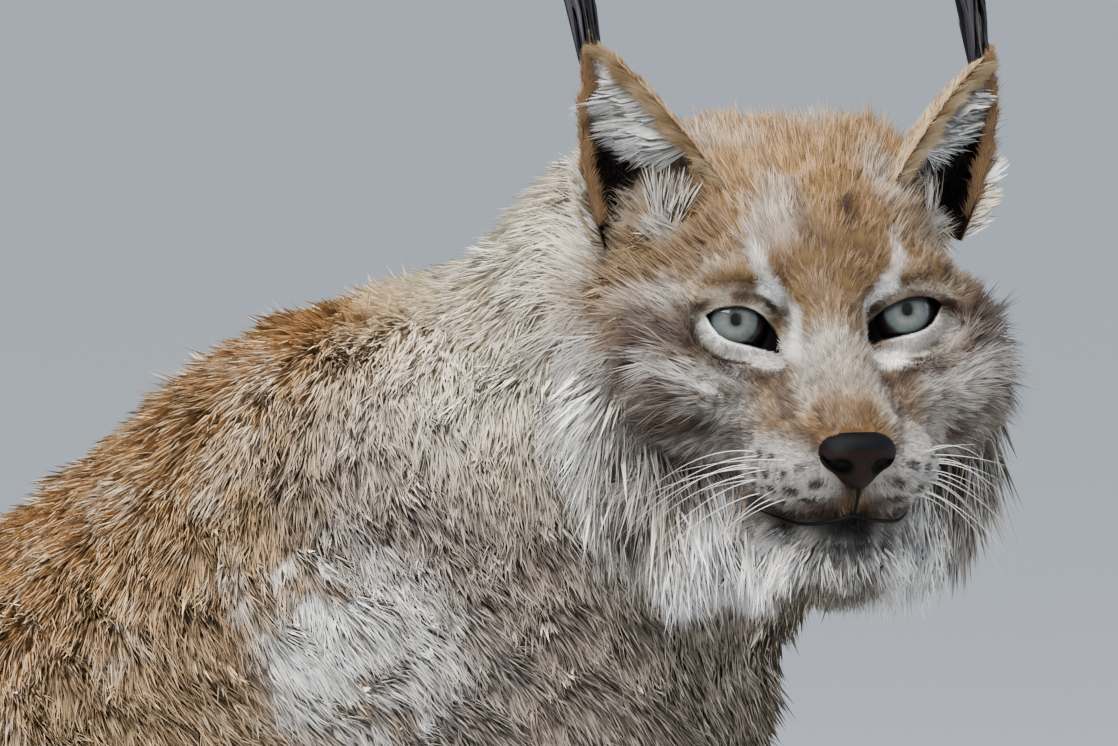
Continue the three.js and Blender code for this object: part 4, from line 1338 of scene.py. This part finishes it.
# %% Nose
nose_forms = blend(0.005, [
    egg(mm(0, -60, -43.5), mm(14.2, 9.5, 7)),
    egg(mm(7.2, -59, -46.5), mm(7.8, 9, 6.5)),
    egg(mm(0, -59, -52), mm(7.5, 8.5, 8)),
])
nostril = egg(mm(8.6, -68, -50.5), mm(4.6, 7, 3.9))
NOSTRIL_WING = limb(mm(9.5, -66, -50.5), mm(13.5, -62, -46.5), 0.0027, 0.0014)
NOSE_BOX, NOSE_CELL = (mm(-24, -80, -66), mm(24, -46, -32)), 0.0006
NOSE_BROWN, NOSE_BLACK = linear("#1a0f0c"), linear("#07070a")
NOSTRIL_SHADE, SPLIT_TONE = linear("#0a0808"), linear("#1c1313")


def nose_field(q):
    folded = mirrored(q)
    value = carve(0.0015, nose_forms, nostril)(folded)
    return -smooth_min(-value, NOSTRIL_WING(folded), 0.001)


at, faces = level_mesh(nose_field, *NOSE_BOX, NOSE_CELL)
faces = outward(at, faces, nose_field)
folded = mirrored(at)
dark_top = ramp(folded[:, 2], -0.0455, -0.0415)
colour = paint(np.tile(NOSE_BROWN, (len(at), 1)), NOSE_BLACK, dark_top)
# painted shade: darker in and round the pits of the nostrils
in_nostril = np.minimum(nostril(folded), NOSTRIL_WING(folded))
colour = paint(colour, NOSTRIL_SHADE, 1 - ramp(in_nostril, 0.0002, 0.0018))
split = 1 - ramp(folded[:, 0], 0.0005, 0.0014)
colour = paint(colour, SPLIT_TONE, split * ramp(-folded[:, 2], 0.046, 0.050))
pebbles = add_node(nose_leather.node_tree, "ShaderNodeTexVoronoi", {"Scale": 900.0})
bump = add_node(nose_leather.node_tree, "ShaderNodeBump", {"Strength": 0.25, "Distance": 0.0003},
                {"Height": pebbles.outputs["Distance"]})
nose_leather.node_tree.links.new(
    bump.outputs["Normal"], nose_leather.node_tree.nodes["Principled BSDF"].inputs["Normal"])
nose_uv = 0.5 + (at[:, [0, 2]] - NOSE_TIP[[0, 2]]) / 0.05
nose = make_object("nose_leather", from_head(at), faces, nose_leather, ["nose"], nose_uv, colour)
print("nose leather:", len(faces), "quads")

# %% [markdown]
# ## Lips
# A thin, dark, bare lip runs from the split under the nose back to each corner of the mouth.
# It is a tapered tube bent along the line of the mouth, half sunk in the short hair.


# %% Lips
def tube(name, material, rows, radii, sides=8, tone=None):
    """A tube through rows of places of the head's frame, with a radius at each."""
    rows = np.asarray(rows)
    along = unit(np.gradient(rows, axis=0))
    across = unit(np.cross(along, [0.1, 1.0, 0.2]))
    up = np.cross(across, along)
    turn = np.arange(sides) * 2 * math.pi / sides
    cos, sin = np.cos(turn)[None, :, None], np.sin(turn)[None, :, None]
    ring = across[:, None] * cos + up[:, None] * sin
    at = (rows[:, None] + ring * np.asarray(radii)[:, None, None]).reshape(-1, 3)
    steps = len(rows)
    uv = np.stack([np.repeat(np.linspace(0.02, 0.98, steps), sides),
                   np.tile(np.linspace(0.1, 0.9, sides), steps)], 1)
    colour = np.tile(tone, (len(at), 1)) if tone is not None else None
    faces = ring_quads(steps, sides)
    piece = make_object(name, from_head(at), faces, material, (), uv, colour)


def smooth_path(places, steps):
    """A smooth curve through places, in steps."""
    places = np.asarray(places)
    padded = np.concatenate([[2 * places[0] - places[1]], places, [2 * places[-1] - places[-2]]])
    path = []
    for t in np.linspace(0, len(places) - 1 - 1e-6, steps):
        i, f = int(t), t % 1
        a, b, c, d = padded[i:i + 4]
        path.append(0.5 * (2 * b + (c - a) * f + (2 * a - 5 * b + 4 * c - d) * f ** 2
                           + (3 * b - a - 3 * c + d) * f ** 3))
    return np.array(path)


LIP_TONE = linear("#080606")
LIP_STEPS, LIP_RADIUS = 61, 0.0009
SPLIT_STEPS, SPLIT_RADIUS = 14, 0.0007
mouth = mm((-32, -28, -72), (-20, -47.5, -75), (-8, -56, -73), (0, -58, -71),
           (8, -56, -73), (20, -47.5, -75), (28, -35, -74))
lip_path = smooth_path(mouth, LIP_STEPS)
lip_radii = LIP_RADIUS * np.sin(np.linspace(0.12, math.pi - 0.12, LIP_STEPS)) ** 0.6
tube("lips", lip_skin, lip_path, lip_radii, 10, LIP_TONE)
split_path = smooth_path(mm((0, -63, -56), (0, -62, -62), (0, -58, -70)), SPLIT_STEPS)
split_radii = np.full(SPLIT_STEPS, SPLIT_RADIUS)
tube("lip_split", lip_skin, split_path, split_radii, 8, LIP_TONE)
print("mouth across in mm:", round((mouth[-1] - mouth[0])[0] * 1000))

# %% [markdown]
# ## Ears
# Each ear is a thin half cone of cartilage, open to the front. It is drawn as a sheet with two
# sides between its inner and its outer rim, which both run to the tip, and its root is sunk in
# the skull. A sheet drawn by a formula also tells the hair where the rims and the hollow are.

# %% Ear sheets
EAR_INNER = mm((31, 12, 50), (62, 30, 96), (84, 48, 110))
EAR_OUTER = mm((80, 53, 30), (94, 48, 72), (84, 48, 110))
EAR_BACK = unit(np.array([-0.18, 0.95, 0.1]))
EAR_DEEP = 0.95
EAR_DROP = {"left": 0.008, "right": 0.0}
EAR_STATIONS, EAR_ARC = 40, 24
EAR_HAIR = 0.0016
EAR_CUP = EAR_HAIR + 0.0018
EAR_SKIN, EAR_HOLLOW_SHADE = linear("#8d7357"), linear("#171110")


def ear_surface(t, turn, inset, side):
    """Places on the half cone: t from root to tip, turn from inner to outer rim in radians."""
    def rim(a, b, c):
        weights = np.stack([(1 - t) ** 2, 2 * t * (1 - t), t ** 2], axis=-1)
        lowered = np.stack([a, b, c]) - np.outer([0, 0.5, 1], [0, 0, EAR_DROP[side]])
        return weights @ lowered
    inner, outer = rim(*EAR_INNER), rim(*EAR_OUTER)
    middle, half = (inner + outer) / 2, (inner - outer) / 2
    reach = np.linalg.norm(half, axis=-1, keepdims=True)
    kept = np.maximum(reach - inset, 0.0004)
    turn = np.asarray(turn)[..., None]
    at = (middle + half / reach * kept * np.cos(turn) + EAR_BACK * kept * EAR_DEEP * np.sin(turn))
    return at * [SIDES[side], 1, 1]


def ear(side):
    t = np.linspace(-0.1, 0.97, EAR_STATIONS)
    turn = np.linspace(0, math.pi, EAR_ARC)
    tt, aa = np.meshgrid(t, turn, indexing="ij")
    back = ear_surface(tt, aa, EAR_HAIR, side)
    cup = ear_surface(tt, aa[:, ::-1], EAR_CUP, side)
    rows = np.concatenate([back, cup], axis=1)
    size = rows.shape[1]
    faces = ring_quads(EAR_STATIONS, size)
    if side == "right":
        faces = faces[:, ::-1]
    on_cup = np.repeat([[0.0] * EAR_ARC + [1.0] * EAR_ARC], EAR_STATIONS, axis=0).ravel()
    height = np.repeat(t, size)
    colour = np.tile(EAR_SKIN, (len(height), 1))
    # painted shade: the inside of the cup is dark below its upper quarter
    colour = paint(colour, EAR_HOLLOW_SHADE, on_cup * (1 - ramp(height, 0.75, 0.95)))
    uv = np.stack([np.tile(np.linspace(0.02, 0.98, size), EAR_STATIONS),
                   np.repeat(np.linspace(0.02, 0.98, EAR_STATIONS), size)], 1)
    piece = make_object(f"ear_sheet_{side}", from_head(rows.reshape(-1, 3)), faces,
                        skin_under_hair, [f"ear_{side}"], uv, colour)
    print(f"ear_sheet_{side}: {len(faces)} quads")


for side in SIDES:
    ear(side)

# %% [markdown]
# ## Hair of the ears
# Short hair covers the back of an ear, tan along the rims and black at the tip. The down in the
# hollow is painted near black, as painted shade, and long white hair runs across the opening from
# the inner rim and shields it. All of it grows from the sheet's own formula, so it follows the rims
# exactly.

# %% Hair on the sheets
EAR_CLUMP, EAR_CLUMP_SEED = 0.010, 41
EAR_FLECK, EAR_FLECK_SEED = 0.008, 42


def ear_hair(name, side, count, t_range, turn_range, inset, outward_sign, length, width, flow,
             lift, tone_low, tone_high, waist=0.0, scatter=0.12, black_from=1.1, forward=0.0):
    """Hair on an ear. Flow gives the share of the way to the tip and of the way across."""
    t = rng.uniform(*t_range, count)
    turn = rng.uniform(*turn_range, count)
    root = ear_surface(t, turn, inset, side)
    step = 0.01
    to_tip = unit(ear_surface(t + step, turn, inset, side) - root)
    over = unit(ear_surface(t, turn + step, inset, side) - root)
    normal = unit(np.cross(to_tip, over)) * outward_sign * SIDES[side]
    normal = unit(normal * (1 - forward) - EAR_BACK * [SIDES[side], 1, 1] * forward)
    heading = to_tip * flow[0] + over * flow[1] + rng.normal(scale=scatter, size=root.shape)
    heading -= (heading * normal).sum(1, keepdims=True) * normal
    size = length * rng.uniform(0.7, 1.2, count) * (1 - 0.4 * ramp(t, 0.75, 0.97))
    inner, outer = (ear_surface(t, np.full(count, at), inset, side) for at in (0.0, math.pi))
    size = np.minimum(size, 0.9 * np.linalg.norm(inner - outer, axis=1) + 0.004)
    fleck = waves(root, EAR_FLECK, EAR_FLECK_SEED)[0]
    mixture = np.clip(rng.random(count) * 0.8 + 0.1 + 0.35 * fleck, 0, 1)[:, None]
    colour = tone_low + (tone_high - tone_low) * mixture
    colour = paint(colour, BLACK, ramp(t, black_from, black_from + 0.08))
    uv = np.stack([0.05 + 0.9 * turn / math.pi, 0.05 + 0.9 * t], 1)
    shift = waves(root, EAR_CLUMP, EAR_CLUMP_SEED)[1] * size[:, None] * 0.26
    # painted shade: each hair of the ear is darker at its root, lighter toward its tip
    arrays = blade(from_head(root), turned(normal), turned(unit(heading)), size,
                   width * rng.uniform(0.7, 1.3, count), np.full(count, math.radians(lift)),
                   turned(shift), lambda s: colour * (0.5 + 0.6 * s), uv, waist)
    add_coat(name, arrays)


EAR_TAN, EAR_PALE, EAR_BROWN = linear("#785c3c"), linear("#ad9976"), linear("#4a3828")
EAR_WHITE, EAR_GREY = linear("#dfe0de"), linear("#8f8c88")
EAR_DARK, EAR_BLACK = linear("#2a201c"), linear("#0c0a0a")
for side in SIDES:
    ear_hair(f"ear_back_{side}", side, 8000, (-0.05, 0.93), (0.0, math.pi), EAR_HAIR, 1, 0.0055,
             0.0010, (1.0, 0.0), 20, EAR_TAN, EAR_PALE, black_from=0.90)
    ear_hair(f"ear_foot_{side}", side, 900, (-0.12, 0.22), (2.3, math.pi), EAR_HAIR, 1, 0.015,
             0.0012, (0.8, 0.5), 26, EAR_PALE, EAR_WHITE, 0.5, 0.2)
    ear_hair(f"ear_rim_inner_{side}", side, 5200, (0.0, 0.97), (0.0, 0.32), EAR_CUP, -1,
             0.011, 0.0006, (1.0, 0.35), 28, EAR_TAN, EAR_PALE, scatter=0.30, forward=0.5)
    ear_hair(f"ear_rim_outer_{side}", side, 3600, (0.0, 0.97), (math.pi - 0.14, math.pi), EAR_CUP,
             -1, 0.009, 0.0006, (1.0, -0.2), 28, EAR_BROWN, EAR_TAN, scatter=0.30, forward=0.7)
    # painted shade: the down in the hollow is painted near black
    ear_hair(f"ear_cup_{side}", side, 2600, (0.0, 0.75), (0.8, math.pi - 0.5), EAR_CUP, -1,
             0.006, 0.0012, (0.9, -0.3), 26, EAR_DARK, EAR_BLACK)
    ear_hair(f"ear_long_hair_{side}", side, 3400, (0.20, 0.86), (0.18, 0.70), EAR_CUP, -1,
             0.032, 0.0007, (0.45, 0.9), 62, EAR_GREY, EAR_WHITE, 0.5, 0.16)

# %% [markdown]
# ## Black tufts of the ears
# The sign of a lynx: five centimetres of stiff black hair that stand up from the tip of each
# ear and bend a little to the side. They start in a small cloud of roots, which spreads upward
# just enough to look like a brush, and the same blades as in the coat make them.

# %% Tufts at the tips of the ears
TUFT_ROOT = {"left": mm(80, 48, 94), "right": mm(-83, 48, 102)}
TUFT_LEAN, TUFT_BEND = {"left": 0.06, "right": -0.03}, {"left": -0.2, "right": -0.16}
TUFT_LENGTH, TUFT_COUNT, TUFT_SPREAD = 0.050, 360, 0.0013
TUFT_TONE = linear("#15131a")
for side in SIDES:
    spread = rng.normal(scale=TUFT_SPREAD, size=(TUFT_COUNT, 3)) * [1, 1, 3]
    root = TUFT_ROOT[side] + spread
    heading = unit(np.array([TUFT_LEAN[side], 0.08, 1]) + spread * [9, 9, 0])
    normal = unit(np.cross(heading, unit(rng.normal(size=(TUFT_COUNT, 3)))))
    length = TUFT_LENGTH * rng.uniform(0.45, 1.05, TUFT_COUNT)
    shift = length[:, None] * [TUFT_BEND[side], 0.2, 0]
    tone = TUFT_TONE * rng.uniform(0.6, 1.6, (TUFT_COUNT, 1))
    uv = np.full((TUFT_COUNT, 2), 0.5) + spread[:, :2] * 60
    width = rng.uniform(0.0009, 0.0015, TUFT_COUNT)
    arrays = blade(from_head(root), turned(normal), turned(heading), length, width,
                   np.zeros(TUFT_COUNT), turned(shift), lambda s: tone, uv)
    add_coat(f"ear_tuft_{side}", arrays)

# %% [markdown]
# ## Whiskers
# Stiff white hairs, thicker than all others, stand in four rows on each pad and sweep out and
# down in shallow arcs. They are few and thick enough to be real tubes, each a piece of its own.

# %% Whiskers
WHISKER_RADIUS, WHISKER_STEPS, WHISKER_SIDES = 0.00021, 14, 5
WHISKER_ROWS = [(-48, 3), (-53, 4), (-58, 4), (-64, 3)]
whisker_at = []
for sign in SIDES.values():
    for row, (height, count) in enumerate(WHISKER_ROWS):
        for column in range(count):
            stray = rng.uniform(-1, 1, 3)
            start = mm((27 + 4 * column) * sign, -55 + 7 * column, height) + stray * 0.0012
            reach = rng.uniform(0.032, 0.074) * (0.7 + 0.1 * column)
            rise = 0.08 - 0.14 * row + 0.16 * stray[2]
            sweep = np.array([sign * 0.9, 0.40 + 0.16 * stray[1], rise])
            drop = np.array([0, 0.15, -0.50 - 0.30 * stray[0]])
            t = np.linspace(0, 1, WHISKER_STEPS)
            way = t[:, None]
            rows = start + reach * (unit(sweep) * way + drop * way * way * 0.8)
            whisker_at.append((rows, WHISKER_RADIUS * (1.05 - t)))
for number, (rows, radii) in enumerate(whisker_at):
    tube(f"whisker_{number + 1}", whisker_hair, rows, radii, WHISKER_SIDES)
print("whiskers:", len(whisker_at))

# %% [markdown]
# ## Floor, light and camera
# The photo was taken under an even grey sky with a long lens, nearly square to the face and
# just above the height of the eyes. A bright world gives the sky, and a broad soft light from high
# on the left of the picture models the face. Three weaker lights follow: one for the fringe of
# the back, a faint fill from low down and one for the fringe of the far cheek. The camera
# stands off far enough to keep the long lens's flat view.

# %% Stage
low, high = (np.array(corner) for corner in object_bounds())
bpy.ops.mesh.primitive_plane_add(size=60, location=(0, 0, 0))
floor = bpy.context.active_object
floor.name = "pale_floor"
floor.data.materials.append(new_material("matt_pale_paper", {"Roughness": 0.9}, "#c8caca"))
floor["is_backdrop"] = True

SKY_COLOUR, SKY_STRENGTH = (0.80, 0.88, 1.0, 1), 0.92
world = bpy.data.worlds.new("grey_sky")
bpy.context.scene.world = world
world.use_nodes = True
sky = world.node_tree.nodes["Background"]
sky.inputs["Color"].default_value = SKY_COLOUR
sky.inputs["Strength"].default_value = SKY_STRENGTH

head_at = from_head(np.zeros(3)) + ORIGIN
CAMERA_AZIMUTH, CAMERA_HEIGHT = math.radians(282), math.radians(4)
CAMERA_DISTANCE, FRAME_WIDTH, SENSOR = 3.5, 0.4467, 0.036
FRAME_OFFSET = mm(-103.4, -21.9)
toward = np.array([math.sin(CAMERA_AZIMUTH) * math.cos(CAMERA_HEIGHT),
                   -math.cos(CAMERA_AZIMUTH) * math.cos(CAMERA_HEIGHT), math.sin(CAMERA_HEIGHT)])
rightward = np.array([math.cos(CAMERA_AZIMUTH), math.sin(CAMERA_AZIMUTH), 0])
upward = np.cross(toward, rightward)
target = head_at + rightward * FRAME_OFFSET[0] + upward * FRAME_OFFSET[1]


def area_light(name, azimuth, height, distance, size, power, colour):
    lamp = bpy.data.lights.new(name, "AREA")
    lamp.size, lamp.energy, lamp.color = size, power, colour
    holder = bpy.data.objects.new(name, lamp)
    a, e = math.radians(azimuth), math.radians(height)
    away = Vector((math.sin(a) * math.cos(e), -math.cos(a) * math.cos(e), math.sin(e)))
    holder.location = Vector(head_at) + away * distance
    holder.rotation_euler = away.to_track_quat("Z", "Y").to_euler()
    bpy.context.scene.collection.objects.link(holder)


area_light("soft_sky_light", 256, 52, 2.2, 1.4, 178, (1.0, 0.98, 0.95))
area_light("fringe_light", 150, 50, 2.2, 1.2, 30, (0.92, 0.96, 1.0))
area_light("low_fill_light", 325, 18, 2.2, 1.4, 5, (0.92, 0.96, 1.0))
area_light("far_fringe_light", 15, 8, 2.2, 1.2, 20, (0.92, 0.96, 1.0))

camera_data = bpy.data.cameras.new("long_lens")
camera_data.sensor_width = SENSOR * 1000
camera_data.lens = SENSOR * 1000 * CAMERA_DISTANCE / FRAME_WIDTH
camera = bpy.data.objects.new("long_lens", camera_data)
camera.location = target + toward * CAMERA_DISTANCE
camera.rotation_euler = Vector(toward).to_track_quat("Z", "Y").to_euler()
bpy.context.scene.collection.objects.link(camera)
bpy.context.scene.camera = camera
print("lens in mm:", round(camera_data.lens, 1))

# %% [markdown]
# ## Triangles of the coat
# The coat may reach only a little past the imported model, or the two would no longer be the same
# lynx. Here the count of its triangles is printed.

# %% The coat's triangles
print("coat triangles:", coat_triangles)
